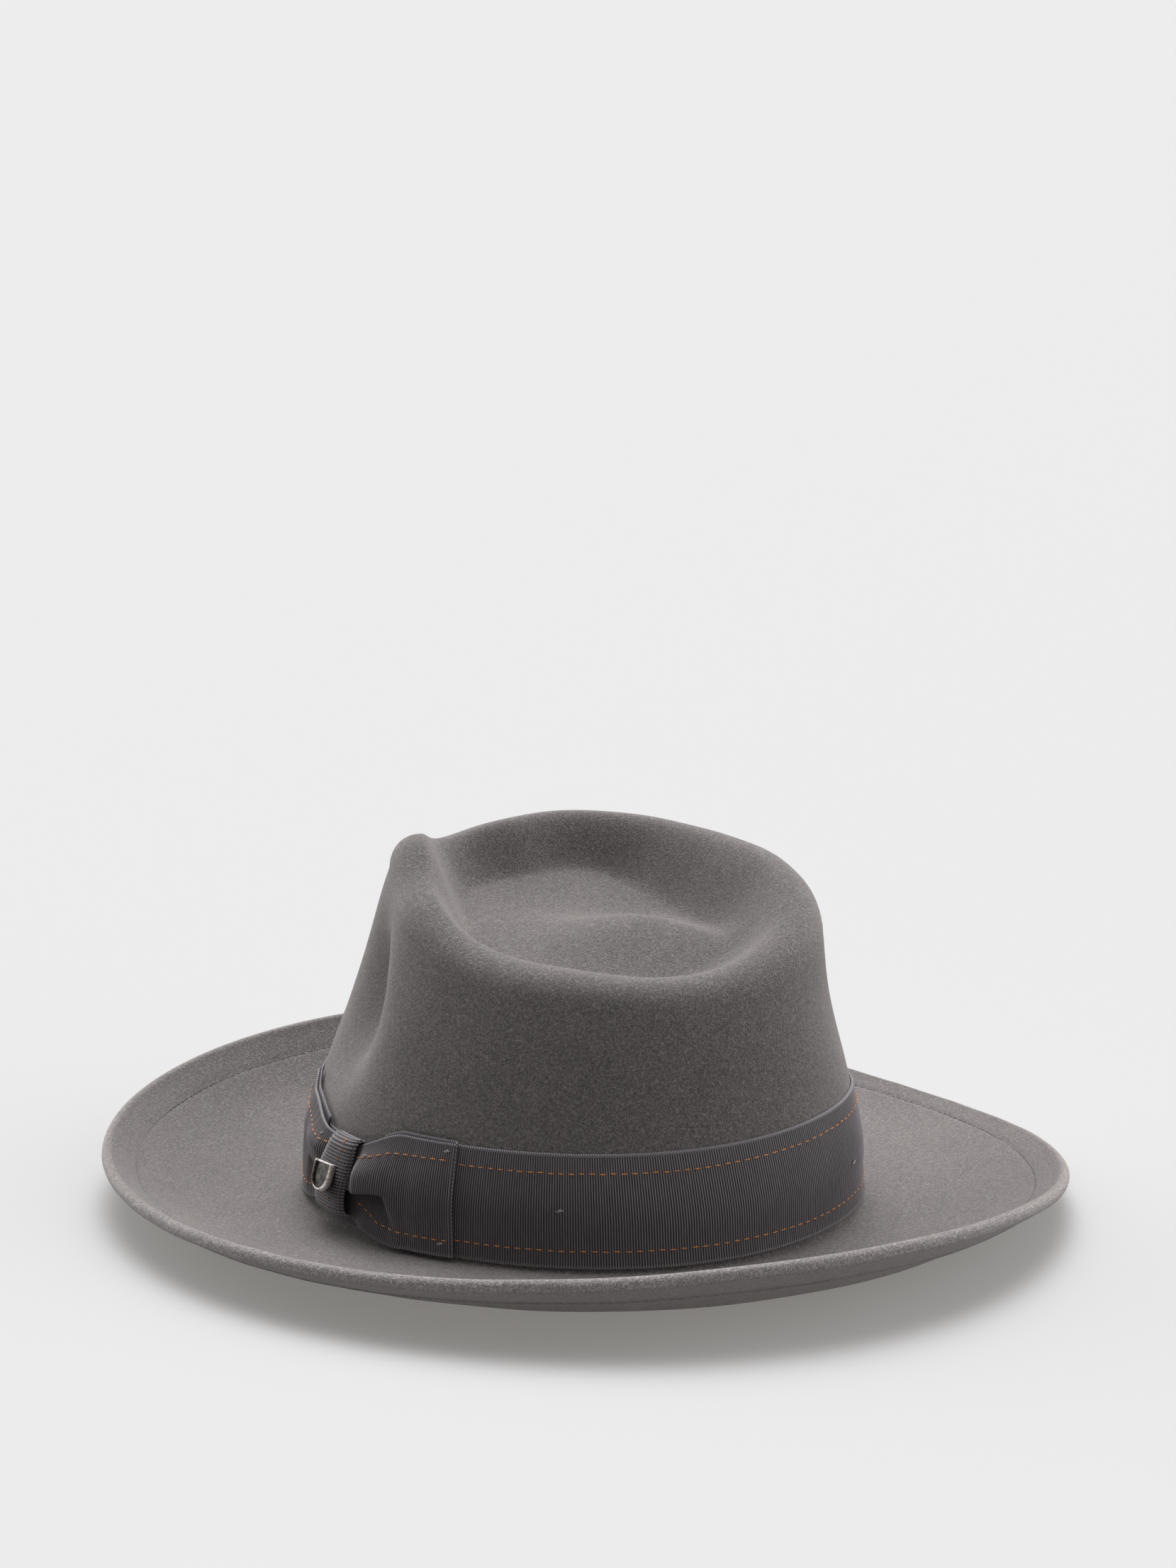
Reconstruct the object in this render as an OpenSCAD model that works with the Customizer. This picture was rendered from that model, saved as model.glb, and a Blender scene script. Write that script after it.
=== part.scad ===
// Teardrop-crown wool-felt fedora, standing on its brim.
// Millimetres, +Z up. The front of the hat points to -Y and the wearer's left to +X.
// The origin is on the table, at the middle of the space that the hat fills.
// Angles round the hat run from 0 at the front, through 90 at the wearer's left, to 180 at the back.

/* [Felt] */
// Half-width of the crown's outside at its foot
crown_half_w = 86.4; // [80:0.2:92]
// Half-length of the crown's outside at its foot
crown_half_l = 101.9; // [96:0.1:108]
// Half-width of the brim
brim_half_w = 152.4; // [140:0.2:165]
// Half-length of the brim
brim_half_l = 172.6; // [160:0.2:185]
// Thickness of one layer of felt
felt_t = 2.2; // [1.8:0.1:2.6]
// Where the folded felt ends, from 0 at the crown's foot to 1 at the brim's edge
welt_u = 0.88; // [0.80:0.01:0.92]
// Thickness of the two layers at the welt's seam, pressed flat
welt_t = 3.2; // [2.8:0.1:4.2]
// Radius of the folded edge
nose_r = 2.4; // [2:0.1:2.6]
// Mean height of the brim's edge above the table
edge_h = 19.5; // [18:0.1:24]
// How late the brim curls up: 2 is an even dish, 3 and more curl only near the edge
curl = 3.3; // [2:0.1:3.6]

/* [Crown] */
// Mean height of the crown's rim
crown_h = 115; // [110:1:122]
// Half-width of the crown below its rim
top_half_w = 64; // [60:0.5:68]
// Distance from the axis to the front of the crown below its rim
top_front = 71; // [68:0.5:76]
// Distance from the axis to the back of the crown below its rim
top_back = 91; // [86:0.5:94]
// Width and height of the rim's outer rounding
rim_round = 12; // [9:0.5:14]
// Depth of the pinch on the wearer's left
pinch_left = 15; // [8:0.5:16]
// Depth of the pinch on the wearer's right
pinch_right = 13; // [8:0.5:16]
// Angle of each pinch from the front
pinch_angle = 34; // [30:1:38]
// Height of the floor of the teardrop
floor_h = 95.5; // [93:0.5:100]
// Height of the soft ridge inside the teardrop
ridge_h = 10.7; // [4:0.1:12]

/* [Ribbon] */
// Height of the hatband's lower edge
band_z = 3.7; // [3.3:0.1:6]
// Height of the hatband's upper edge at the side away from the bow
band_top = 40.9; // [38:0.1:43]
// Thickness of the ribbon
ribbon_t = 0.9; // [0.7:0.1:1.2]
// Distance of each stitched row from the ribbon's edge
row_inset = 6; // [4:0.5:8]
// Angle of the bow's knot
knot_angle = 56; // [50:1:60]
// Angle from the knot to the end of each half of the bow
bow_span = 33; // [28:0.5:38]
// How far the knot stands out from the hatband
knot_proud = 5.4; // [3:0.2:6]

/* [Badge] */
// Width of the metal badge
badge_w = 11.6; // [8:0.1:12.5]
// Height of the metal badge
badge_h = 10.6; // [9:0.1:14]
// Thickness of the metal badge
badge_t = 1.6; // [1.2:0.1:2]

/* [Inside] */
// Height of the sweatband
sweat_w = 37; // [32:1:38]
// Thickness of the sweatband leather
sweat_t = 1; // [0.8:0.1:1.2]
// Height of the seam between the lining's side and its tip
lining_h = 74; // [66:1:76]

/* [Hidden] */

steps = 64;              // points round the hat
gap = 0.3;               // air between two layers of cloth
foot_w = 2.5;            // width of the rounding where the crown meets the brim
foot_h = 5;              // height of that rounding
wall_z = felt_t + foot_h;
thread = 0.45;           // thickness of the sewing thread
foot_z = 0.01;           // lowest height at which the crown's side is asked for
sweat_z = 0.6;
sweat_top = sweat_z + sweat_w;

felt_grey = [0.42, 0.40, 0.40];
ribbon_grey = [0.22, 0.21, 0.23];
edge_grey = [0.30, 0.29, 0.31];
orange = [0.72, 0.33, 0.12];
old_silver = [0.55, 0.52, 0.49];
leather_grey = [0.19, 0.17, 0.16];
satin_grey = [0.33, 0.32, 0.34];

// ---- Small helpers ----------------------------------------------------------------------------

function wrapped(a) = a > 180 ? wrapped(a - 360) : a <= -180 ? wrapped(a + 360) : a;
function bell(x, s) = exp(-x * x / (2 * s * s));
function ease(x) = let (c = min(max(x, 0), 1)) c * c * (3 - 2 * c);
function oval(a, half_w, half_l) = 1 / sqrt(pow(sin(a) / half_w, 2) + pow(cos(a) / half_l, 2));
function at(a, r, z) = [r * sin(a), -r * cos(a), z];
function span(from, to, count) = [for (k = [0 : count]) from + (to - from) * k / count];
function flipped(list) = [for (k = [len(list) - 1 : -1 : 0]) list[k]];

// ---- The felt's outer surface -----------------------------------------------------------------

// Radius of the crown's foot and of the brim's edge
function foot_r(a) = oval(a, crown_half_w, crown_half_l) - 1.1 * bell(wrapped(a - 28), 18);
function brim_r(a) = oval(a, brim_half_w, brim_half_l) - 1.3 * bell(wrapped(a - 195), 18);

// Height of the brim's edge: the felt is a little warped, higher behind the wearer's left
function edge_z(a) = edge_h + 1.8 * cos(a) + 2.8 * cos(2 * a) - 1.4 * cos(3 * a)
                   + 5.3 * sin(a) - 6.5 * sin(2 * a)
                   - 1.6 * bell(wrapped(a - 112), 24) + 1.4 * bell(wrapped(a - 222), 16);

// Height of the crown's rim: highest at the front tip and the right, lowest at the left
function rim_z(a) = crown_h + 5.5 * cos(a) - 12.5 * sin(a) + 1.6 * cos(2 * a) + 1.4 * sin(2 * a)
                  + 10.3 * bell(wrapped(a - 19), 11) - 1.5 * bell(wrapped(a + 10), 9)
                  + 3.5 * bell(wrapped(a - 42), 12) + 3 * bell(wrapped(a - 58), 12) - 9 * bell(wrapped(a - 160), 22)
                  + 1.8 * bell(wrapped(a - 215), 15);

// Radius of the crown just below the rim
function top_r(a) = oval(a, top_half_w, (top_front + top_back) / 2 + (top_front - top_back) / 2 * cos(a))
    - 4 * bell(abs(wrapped(a)) - 32, 18) - 1.5 * bell(wrapped(a - 210), 30);

// Depth of the two pinches, t running from 0 at the foot to 1 below the rim.
// Each is easier on the side towards the ridge between them.
function dent(x, near) = bell(x, near ? 11 : 9);
function pinch(a, t) = let (left = wrapped(a - pinch_angle), right = wrapped(a + pinch_angle))
    ease((t - 0.2) / 0.35) * (
      pinch_left * dent(left, left < 0) * bell(t - 0.67, t < 0.67 ? 0.20 : 0.15)
    + pinch_right * dent(right, right > 0) * bell(t - 0.62, 0.19));

// Radius of the crown's side
function side_r(a, t) = foot_r(a) + (top_r(a) - foot_r(a)) * pow(t, 1.3 + 0.3 * cos(a))
    + (1.1 - 0.9 * cos(a)) * sin(360 * (t + 0.1)) * ease(t / 0.2)
    + 2.8 * bell(wrapped(a - 210), 35) * bell(t - 0.55, 0.2) - pinch(a, t);
function side_z(a, t) = wall_z + (rim_z(a) - rim_round - wall_z) * t;

// Radius of the felt's outside at a height, the rounding at the foot included
function felt_r(a, z) = z >= wall_z
    ? side_r(a, (z - wall_z) / (rim_z(a) - rim_round - wall_z))
    : foot_r(a) + foot_w * (1 - sin(acos(1 - (z - felt_t) / foot_h)));

// Floor of the teardrop, with the soft ridge inside it: steep on its far side, easy on its near side
function floor_z(x, y) = let (over = x - 3 + 0.25 * (y - 20))
    floor_h - 0.20 * x - 0.16 * y + 0.06 * norm([x, 15]) + 0.05 * norm([y, 15])
    + ridge_h * bell(over, over < 0 ? 9.5 : 18) * bell(y - 27, 22);

// Width of the slope from the rim down to the floor: widest at the back
function slope_w(a) = 15 + 13 * bell(wrapped(a - 205), 38);

function brim_pt(a, u) = let (r0 = foot_r(a) + foot_w)
    [r0 + (brim_r(a) - r0) * u, felt_t + (edge_z(a) - felt_t) * pow(u, curl)];
function foot_pt(a, v) = [foot_r(a) + foot_w * (1 - sin(v)), felt_t + foot_h * (1 - cos(v))];
function rim_pt(a, v) = [side_r(a, 1) - rim_round * (1 - cos(v)), rim_z(a) - rim_round * (1 - sin(v))];
function bowl_pt(a, q) = let (crest = side_r(a, 1) - rim_round, r = crest * (1 - q))
    [r, rim_z(a) + (floor_z(r * sin(a), -r * cos(a)) - rim_z(a)) * ease(crest * q / slope_w(a))];

// Profile of the outer surface at one angle, from the brim's edge to nearly the middle of the crown
welt_rings = 4;
brim_us = concat(span(1, welt_u, welt_rings), [0.8, 0.67, 0.52, 0.37, 0.22, 0.1]);
side_ts = span(0, 0.96, 12);
bowl_qs = [0.05, 0.11, 0.18, 0.26, 0.35, 0.45, 0.57, 0.7, 0.84];
function profile(a) = concat(
    [for (u = brim_us) brim_pt(a, u)],
    [for (v = [0, 30, 60]) foot_pt(a, v)],
    [for (t = side_ts) [side_r(a, t), side_z(a, t)]],
    [for (v = span(0, 90, 4)) rim_pt(a, v)],
    [for (q = bowl_qs) bowl_pt(a, q)]);

// Outward normal of a profile at its point k
function normal(p, k) = let (
    d = p[min(k + 1, len(p) - 1)] - p[max(k - 1, 0)],
    l = norm(d)) [d[1] / l, -d[0] / l];

// ---- Solids swept round the hat ---------------------------------------------------------------

// Faces between neighbouring sections of m points, closed round the hat if loop is true
function skin(n, m, loop, wrap) = [for (i = [0 : n - (loop ? 1 : 2)], j = [0 : m - (wrap ? 1 : 2)])
    let (p = i * m + j, q = i * m + (j + 1) % m,
         s = ((i + 1) % n) * m + j, r = ((i + 1) % n) * m + (j + 1) % m)
    each [[p, q, r], [p, r, s]]];

// A closed ring: one section of [radius, height] points at each angle
module ring(sections) {
    m = len(sections[0]);
    pts = [for (i = [0 : steps - 1]) each [for (s = sections[i]) at(i * 360 / steps, s[0], s[1])]];
    polyhedron(points = pts, faces = skin(steps, m, true, true));
}

// An open strip: sections of 3D points, closed by a cap at each end
module strip(sections) {
    n = len(sections);
    m = len(sections[0]);
    caps = [flipped([for (j = [0 : m - 1]) j]), [for (j = [0 : m - 1]) (n - 1) * m + j]];
    polyhedron(points = [for (s = sections) each s], faces = concat(skin(n, m, false, true), caps));
}

// A dome: the first and last points of each section lie on the axis
module dome(sections, z_in, z_out) {
    m = len(sections[0]);
    base = steps * m;
    pts = concat([for (i = [0 : steps - 1]) each [for (s = sections[i]) at(i * 360 / steps, s[0], s[1])]],
                 [[0, 0, z_in], [0, 0, z_out]]);
    tips = [for (i = [0 : steps - 1]) let (k = (i + 1) % steps)
        each [[base, i * m, k * m], [i * m + m - 1, base + 1, k * m + m - 1]]];
    polyhedron(points = pts, faces = concat(skin(steps, m, true, false), tips));
}

angles = [for (i = [0 : steps - 1]) i * 360 / steps];

// Section of cloth that lies between two offsets from the felt's outside, over some heights
function cloth(a, zs, inner, outer) = concat(
    [for (z = zs) [felt_r(a, max(z, foot_z)) + outer, z]],
    [for (z = flipped(zs)) [felt_r(a, max(z, foot_z)) + inner, z]]);

// Square section of a sewing thread
function thread_at(r, z) = [[r, z - thread / 2], [r + thread, z - thread / 2],
                            [r + thread, z + thread / 2], [r, z + thread / 2]];

band_in = gap;
band_out = gap + ribbon_t;
sweat_out = -felt_t - gap;
sweat_in = sweat_out - sweat_t;

// Moves a piece onto the hatband: its X runs round the hat, -Y points outwards
module on_band(a, z, proud) {
    facing = atan2(sin(a) / pow(crown_half_w, 2), cos(a) / pow(crown_half_l, 2));
    translate(at(a, felt_r(a, z) + band_out + proud, z))
        rotate([0, 0, facing])
            children();
}

// ---- Sub-parts --------------------------------------------------------------------------------

// Depth of the folded-back edge below the brim's upper face, ring by ring inwards
function welt_depth(k) = 2 * nose_r + (welt_t - 2 * nose_r) * k / welt_rings;

// Crown and brim: one piece of felt, folded back under the brim's edge
module felt_body() {
    sections = [for (a = angles) let (
        p = profile(a),
        last = len(p) - 1,
        out = normal(p, 0),
        mid = p[0] - nose_r * out,
        along = [out[1], -out[0]])
        concat(
            [for (k = [last : -1 : welt_rings + 1]) p[k] - felt_t * normal(p, k)],
            [for (k = [welt_rings : -1 : 0]) p[k] - welt_depth(k) * normal(p, k)],
            [for (v = [-60, -30, 0, 30, 60]) mid + nose_r * (cos(v) * along + sin(v) * out)],
            p)];
    color(felt_grey) dome(sections, floor_z(0, 0) - felt_t, floor_z(0, 0));
}

// Thread line in the groove above the welt's inner edge
module welt_stitching() {
    rise = 0.85;  // height of the thread above the felt, on the sloping side of the brim
    color(edge_grey) ring([for (a = angles) let (p = brim_pt(a, welt_u)) thread_at(p[0], p[1] + rise)]);
}

// Edges of the hatband: it rises a little at the back, and dips behind the bow
function band_low(a) = band_z + 1.6 * bell(wrapped(a - 190), 23);
function band_high(a) = band_top + 4.2 * bell(wrapped(a - 190), 23) + 3.5 * bell(wrapped(a), 16)
    - 7.3 * ease((wrapped(a) - 22) / 16) * ease((78 - wrapped(a)) / 17);

// Grosgrain ribbon round the foot of the crown
module hatband() {
    function heights(a) = concat([band_low(a), band_low(a) + 1.6], span(wall_z + 0.2, band_high(a), 5));
    color(ribbon_grey) ring([for (a = angles) cloth(a, heights(a), band_in, band_out)]);
}

// Running stitches on the hatband; z is the row's height at each angle
module band_row(zs) {
    color(orange) ring([for (i = [0 : steps - 1])
        thread_at(felt_r(angles[i], zs[i]) + band_out + 0.1, zs[i])]);
}
module hatband_stitch_upper() {
    band_row([for (a = angles) band_high(a) - row_inset]);
}
module hatband_stitch_lower() {
    band_row([for (a = angles) band_low(a) + row_inset]);
}

// One tack: a short bar of thread
tack_w = 2.4;
tack_t = 0.5;
module tack(a, z, proud) {
    on_band(a, z, proud) cube([tack_w, tack_t, tack_t], center = true);
}

// Two small tacks that hold the hatband to the felt, behind the bow
module hatband_tacks() {
    color(edge_grey) for (a = [114.8, 185]) tack(a, 23.2, 0.6);
}

// Edges of the bow's outer layer at d degrees from the knot.
// side is 1 towards the back and -1 towards the front.
function bow_low(d, side) = 9.5 - 5.6 * ease((d + 1) / 20)
    + (side > 0 ? 0 : 3 * (1 - ease((d - 6) / 20)));
function bow_high(d, side) = side > 0
    ? 33.5 + 8 * ease((d - 2) / 17)
    : 34 + 6 * ease((d - 2) / 26) + 5 * ease((d - 26) / 8);

// How far the loop is puffed: most near the knot, least at its folded end, its edges drawn in
function bow_puff(d, across) = 1.9 + 3.4 * (1 - ease((d - 7) / 15)) * sin(180 * (across * 0.8 + 0.1));

// Half of the bow: from the knot, where it is gathered, to its folded end
knot_half = 6.5;         // degrees from the knot's middle to where a half begins
bow_lift = 0.7;          // air between the hatband and the bow
module bow_half(side) {
    reach = span(knot_half, bow_span, 9);
    sections = [for (d = side > 0 ? reach : flipped(reach)) let (
        a = knot_angle + side * d,
        inner = band_out + bow_lift,
        share = span(0, 1, 5),
        zs = [for (s = share) bow_low(d, side) + (bow_high(d, side) - bow_low(d, side)) * s])
        concat([for (k = [0 : 5]) at(a, felt_r(a, zs[k]) + inner + bow_puff(d, share[k]), zs[k])],
               [for (z = flipped(zs)) at(a, felt_r(a, z) + inner, z)])];
    color(ribbon_grey) strip(sections);
}
module bow_front_half() {
    bow_half(-1);
}
module bow_rear_half() {
    bow_half(1);
}

// Ribbon wrapped round the middle of the bow; its top leans towards the back
knot_z = 22.8;           // height of the knot's middle
knot_half_h = 13.7;
knot_half_w = 5.6;       // half of the knot's width, in degrees
function knot_a(z) = knot_angle - 0.9 + 2.2 * ease((z - 22) / 16);
module bow_knot() {
    zs = span(knot_z - knot_half_h, knot_z + knot_half_h, 8);
    edge = 0.6;          // thickness left at the knot's two ends
    function proud(z, e) = edge + (knot_proud + 0.8) * pow(cos(82 * (z - knot_z) / knot_half_h), 0.4)
        - 0.6 * pow(e, 2);
    sections = [for (e = span(-1, 1, 6)) concat(
        [for (z = zs) let (a = knot_a(z) + knot_half_w * e) at(a, felt_r(a, z) + band_out + proud(z, e), z)],
        [for (z = flipped(zs)) let (a = knot_a(z) + knot_half_w * e) at(a, felt_r(a, z) + band_out + gap, z)])];
    color(ribbon_grey) strip(sections);
}

// Tacks at the corners of the bow's folded ends
tack_inset = 2;          // degrees from the folded end to a tack
module bow_tacks() {
    color(edge_grey) for (side = [-1, 1], z = [8.3, 39])
        tack(knot_angle + side * (bow_span - tack_inset), z, bow_lift + 3.4);
}

// Outline of a shield: flat top, rounded down to a point
function shield(w, h) = concat([[w / 2, h / 2], [-w / 2, h / 2]],
    [for (v = span(0, 80, 5)) [-w / 2 * cos(v), -h * 0.05 - h * 0.45 * sin(v)]],
    [[0, -h / 2]],
    [for (v = span(80, 0, 5)) [w / 2 * cos(v), -h * 0.05 - h * 0.45 * sin(v)]]);

badge_angle = knot_angle - 1.1;
badge_z = 21.4;
badge_lean = 20;         // how far the badge leans back
badge_proud = knot_proud + 2.2;
rim_w = 1;               // width of the badge's rim on its narrow sides
bar_w = 3.2;             // width of the rim on the side towards the back
prong_gap = 0.4;
module on_knot(proud) {
    on_band(badge_angle, badge_z, proud) rotate([90 - badge_lean, 0, 0]) children();
}
module badge_hole(grow) {
    translate([-(bar_w - rim_w) / 2, 0])
        polygon(shield(badge_w - bar_w - rim_w + grow, badge_h - 2 * rim_w + grow));
}

// Raised rim of the shield-shaped badge, wider on the side towards the back
module badge_frame() {
    color(old_silver) on_knot(badge_proud) linear_extrude(badge_t) difference() {
        polygon(shield(badge_w, badge_h));
        badge_hole(0);
    }
}

// Plain plate inside the badge's rim
module badge_plate() {
    color(felt_grey) on_knot(badge_proud + 0.2) linear_extrude(0.6) badge_hole(-0.1);
}

// Two prongs that hold the badge on the knot
module badge_prongs() {
    color(old_silver) for (x = [-3.6, 3.6])
        on_knot(badge_proud - prong_gap) translate([x, 1, 0]) cylinder(h = 0.3, r = 0.5, $fn = 24);
}

// Leather band inside the crown's foot
module sweatband() {
    zs = concat([sweat_z, 4], span(wall_z + 0.8, sweat_top, 4));
    color(leather_grey) ring([for (a = angles) concat(
        [for (z = zs) [felt_r(a, max(z, wall_z)) + sweat_out, z]],
        [for (z = flipped(zs)) [felt_r(a, max(z, wall_z)) + sweat_in, z]])]);
}

// Thin plastic reed behind the sweatband's lower edge
module sweatband_reed() {
    color("white") ring([for (a = angles) let (r = foot_r(a) + sweat_out + 0.15)
        [[r, 0.6], [r + 0.9, 0.6], [r + 0.9, 1.8], [r, 1.8]]]);
}

// Stitches that hold the sweatband to the felt
module sweatband_stitching() {
    color(edge_grey) ring([for (a = angles) thread_at(foot_r(a) + sweat_in - thread - 0.15, 3.5)]);
}

// Small flat bow where the sweatband is joined at the back
module sweatband_bow() {
    z = 13;
    color(ribbon_grey) translate([0, felt_r(180, z) + sweat_in - 2.6, z]) rotate([90, 0, 0])
        linear_extrude(0.8)
            polygon([[-9, 3], [-1.5, 1], [1.5, 1], [9, 3], [9, -3], [1.5, -1], [-1.5, -1], [-9, -3]]);
}

// Blank size label on the sweatband, beside the back seam
module size_label() {
    z = 22;
    a = 160;
    facing = atan2(sin(a) / pow(crown_half_w, 2), cos(a) / pow(crown_half_l, 2));
    color("ivory") translate(at(a, felt_r(a, z) + sweat_in - 1.3, z)) rotate([90, 0, facing])
        linear_extrude(0.3) square([14, 10], center = true);
}

// Side of the satin lining
module lining_side() {
    zs = span(sweat_top + 0.4, lining_h, 5);
    color(satin_grey) ring([for (a = angles) cloth(a, zs, -felt_t - 1.4, -felt_t - 0.8)]);
}

// Tip of the satin lining, a shallow dome below the teardrop
module lining_tip() {
    function rise(q) = 4 * (1 - pow(1 - q, 2));
    sections = [for (a = angles) let (r = felt_r(a, lining_h) - felt_t - 2.6) concat(
        [for (q = [0.8, 0.55, 0.3, 0]) [r * (1 - q), lining_h + 0.5 + rise(q)]],
        [for (q = [0, 0.3, 0.55, 0.8]) [r * (1 - q), lining_h + 1.1 + rise(q)]])];
    color(satin_grey) dome(sections, lining_h + 4.5, lining_h + 5.1);
}

// Piped seam between the lining's side and its tip
module lining_seam() {
    color(ribbon_grey) ring([for (a = angles)
        let (r = felt_r(a, lining_h) - felt_t - 2.4, z = lining_h + 0.8)
        [[r, z - 0.4], [r + 1, z - 0.4], [r + 1, z + 0.4], [r, z + 0.4]]]);
}

felt_body();
welt_stitching();
hatband();
hatband_stitch_upper();
hatband_stitch_lower();
hatband_tacks();
bow_front_half();
bow_rear_half();
bow_knot();
bow_tacks();
badge_frame();
badge_plate();
badge_prongs();
sweatband();
sweatband_reed();
sweatband_stitching();
sweatband_bow();
size_label();
lining_side();
lining_tip();
lining_seam();
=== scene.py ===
"""Looks of a teardrop-crown wool-felt fedora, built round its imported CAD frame.

Lengths inside the shape functions are millimetres; meshes are made in metres. Angles round the hat
are degrees: 0 at the front (-Y), 90 at the wearer's left (+X), 180 at the back.
"""

import math

import bmesh
import bpy
import numpy as np
from mathutils import Matrix, Vector


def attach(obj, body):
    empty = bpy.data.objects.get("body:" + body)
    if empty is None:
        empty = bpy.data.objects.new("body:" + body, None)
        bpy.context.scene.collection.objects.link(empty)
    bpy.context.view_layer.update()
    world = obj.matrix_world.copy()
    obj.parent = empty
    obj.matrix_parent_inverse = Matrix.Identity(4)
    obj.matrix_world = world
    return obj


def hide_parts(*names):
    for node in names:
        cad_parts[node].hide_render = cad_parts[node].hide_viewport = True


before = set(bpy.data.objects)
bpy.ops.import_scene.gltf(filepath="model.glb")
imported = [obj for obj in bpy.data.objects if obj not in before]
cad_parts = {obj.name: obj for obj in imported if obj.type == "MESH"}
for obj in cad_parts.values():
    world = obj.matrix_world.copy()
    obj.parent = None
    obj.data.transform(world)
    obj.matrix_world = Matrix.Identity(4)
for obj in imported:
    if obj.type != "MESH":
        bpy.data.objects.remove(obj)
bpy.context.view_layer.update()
MM = 0.001

# ---- Camera, light and floor

CAMERA_AZIMUTH, CAMERA_ELEVATION, CAMERA_DISTANCE = 120.0, 18.99, 1.3694
AIM_YAW, AIM_PITCH, CAMERA_ROLL = -0.217, -12.907, -1.2
LENS = 87.6


def new_object(name, data):
    made = bpy.data.objects.new(name, data)
    bpy.context.scene.collection.objects.link(made)
    return made


def add_camera():
    """The camera: where it stands round the hat, where it looks, and its small roll."""
    az, el = math.radians(CAMERA_AZIMUTH), math.radians(CAMERA_ELEVATION)
    place = Vector((math.sin(az) * math.cos(el), -math.cos(az) * math.cos(el), math.sin(el)))
    place *= CAMERA_DISTANCE
    yaw = math.atan2(-place.y, -place.x) + math.radians(AIM_YAW)
    pitch, roll = math.radians(AIM_PITCH), math.radians(CAMERA_ROLL)
    forward = Vector((math.cos(yaw) * math.cos(pitch), math.sin(yaw) * math.cos(pitch), math.sin(pitch)))
    right = forward.cross(Vector((0, 0, 1))).normalized()
    up = right.cross(forward)
    across = right * math.cos(roll) + up * math.sin(roll)
    above = up * math.cos(roll) - right * math.sin(roll)
    camera = new_object("camera", bpy.data.cameras.new("camera"))
    camera.data.lens = LENS
    camera.matrix_world = Matrix.Translation(place) @ Matrix((across, above, -forward)).transposed().to_4x4()
    bpy.context.scene.camera = camera


class Graph:
    """Short calls for building a node tree."""

    def __init__(self, tree):
        self.nodes, self.links = tree.nodes, tree.links
        self.nodes.clear()

    def put(self, kind, inputs=(), **settings):
        node = self.nodes.new("ShaderNode" + kind)
        for key, value in settings.items():
            setattr(node, key, value)
        for key, value in dict(inputs).items():
            if isinstance(value, bpy.types.NodeSocket):
                self.links.new(value, node.inputs[key])
            else:
                node.inputs[key].default_value = value
        return node

    def math(self, operation, a, b=0.0, c=0.0):
        return self.put("Math", {0: a, 1: b, 2: c}, operation=operation).outputs[0]

    def times(self, *values):
        """The product of all the values."""
        product = values[0]
        for value in values[1:]:
            product = self.math("MULTIPLY", product, value)
        return product

    def scaled(self, value, low, high):
        """value from 0 to 1 spread over low to high."""
        return self.math("MULTIPLY_ADD", value, high - low, low)

    def toned(self, colour, level):
        """A colour or vector made stronger or weaker."""
        return self.put("VectorMath", {0: colour, "Scale": level}, operation="SCALE").outputs[0]

    def mapped(self, vector, scale=(1, 1, 1), rotation=(0, 0, 0)):
        return self.put("Mapping", {"Vector": vector, "Scale": scale, "Rotation": rotation}).outputs[0]

    def place(self):
        return self.put("TexCoord").outputs["Object"]

    def field(self, name, output="Fac"):
        """A value that the mesh carries at each point."""
        return self.put("Attribute", attribute_name=name, attribute_type="GEOMETRY").outputs[output]

    def mix(self, factor, a, b):
        """Colour a at factor 0 and b at 1."""
        node = self.put("Mix", data_type="RGBA")
        for socket, value in ((node.inputs[0], factor), (node.inputs[6], a), (node.inputs[7], b)):
            if isinstance(value, bpy.types.NodeSocket):
                self.links.new(value, socket)
            else:
                socket.default_value = value
        return node.outputs[2]

    def noise(self, vector, scale, detail=2.0, rough=0.5):
        inputs = {"Vector": vector, "Scale": scale, "Detail": detail, "Roughness": rough}
        return self.put("TexNoise", inputs).outputs["Fac"]

    def ramp(self, value, low, high):
        """value eased from 0 at low to 1 at high."""
        node = self.put("MapRange", {"Value": value, "From Min": low, "From Max": high})
        node.interpolation_type = "SMOOTHSTEP"
        return node.outputs["Result"]


SKY_LOBES = (  # azimuth round the hat, elevation, strength, sharpness
    (300.0, 75.0, 2.1, 16.0),
    (300.0, 58.0, 8.5, 16.0),
    (345.0, 28.0, 0.5, 10.0),
    (0.0, 18.0, 2.4, 14.0),
    (210.0, 25.0, 2.0, 10.0),
    (180.0, 12.0, 0.7, 10.0),
)
SKY_LEVEL = 0.02
LIGHT_COLOUR = (1, 0.995, 0.99, 1)
FLOOR_TONE, FLOOR_TINT = 0.47, (1, 1.01, 1.05)
FLOOR_GLOW, FLOOR_GLOW_COLOUR = 0.20, (1, 0.96, 0.90, 1)
FLOOR_HALF = 40.0
BACKDROP, BACKDROP_COLOUR = 0.815, (0.985, 1, 1.02, 1)


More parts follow.
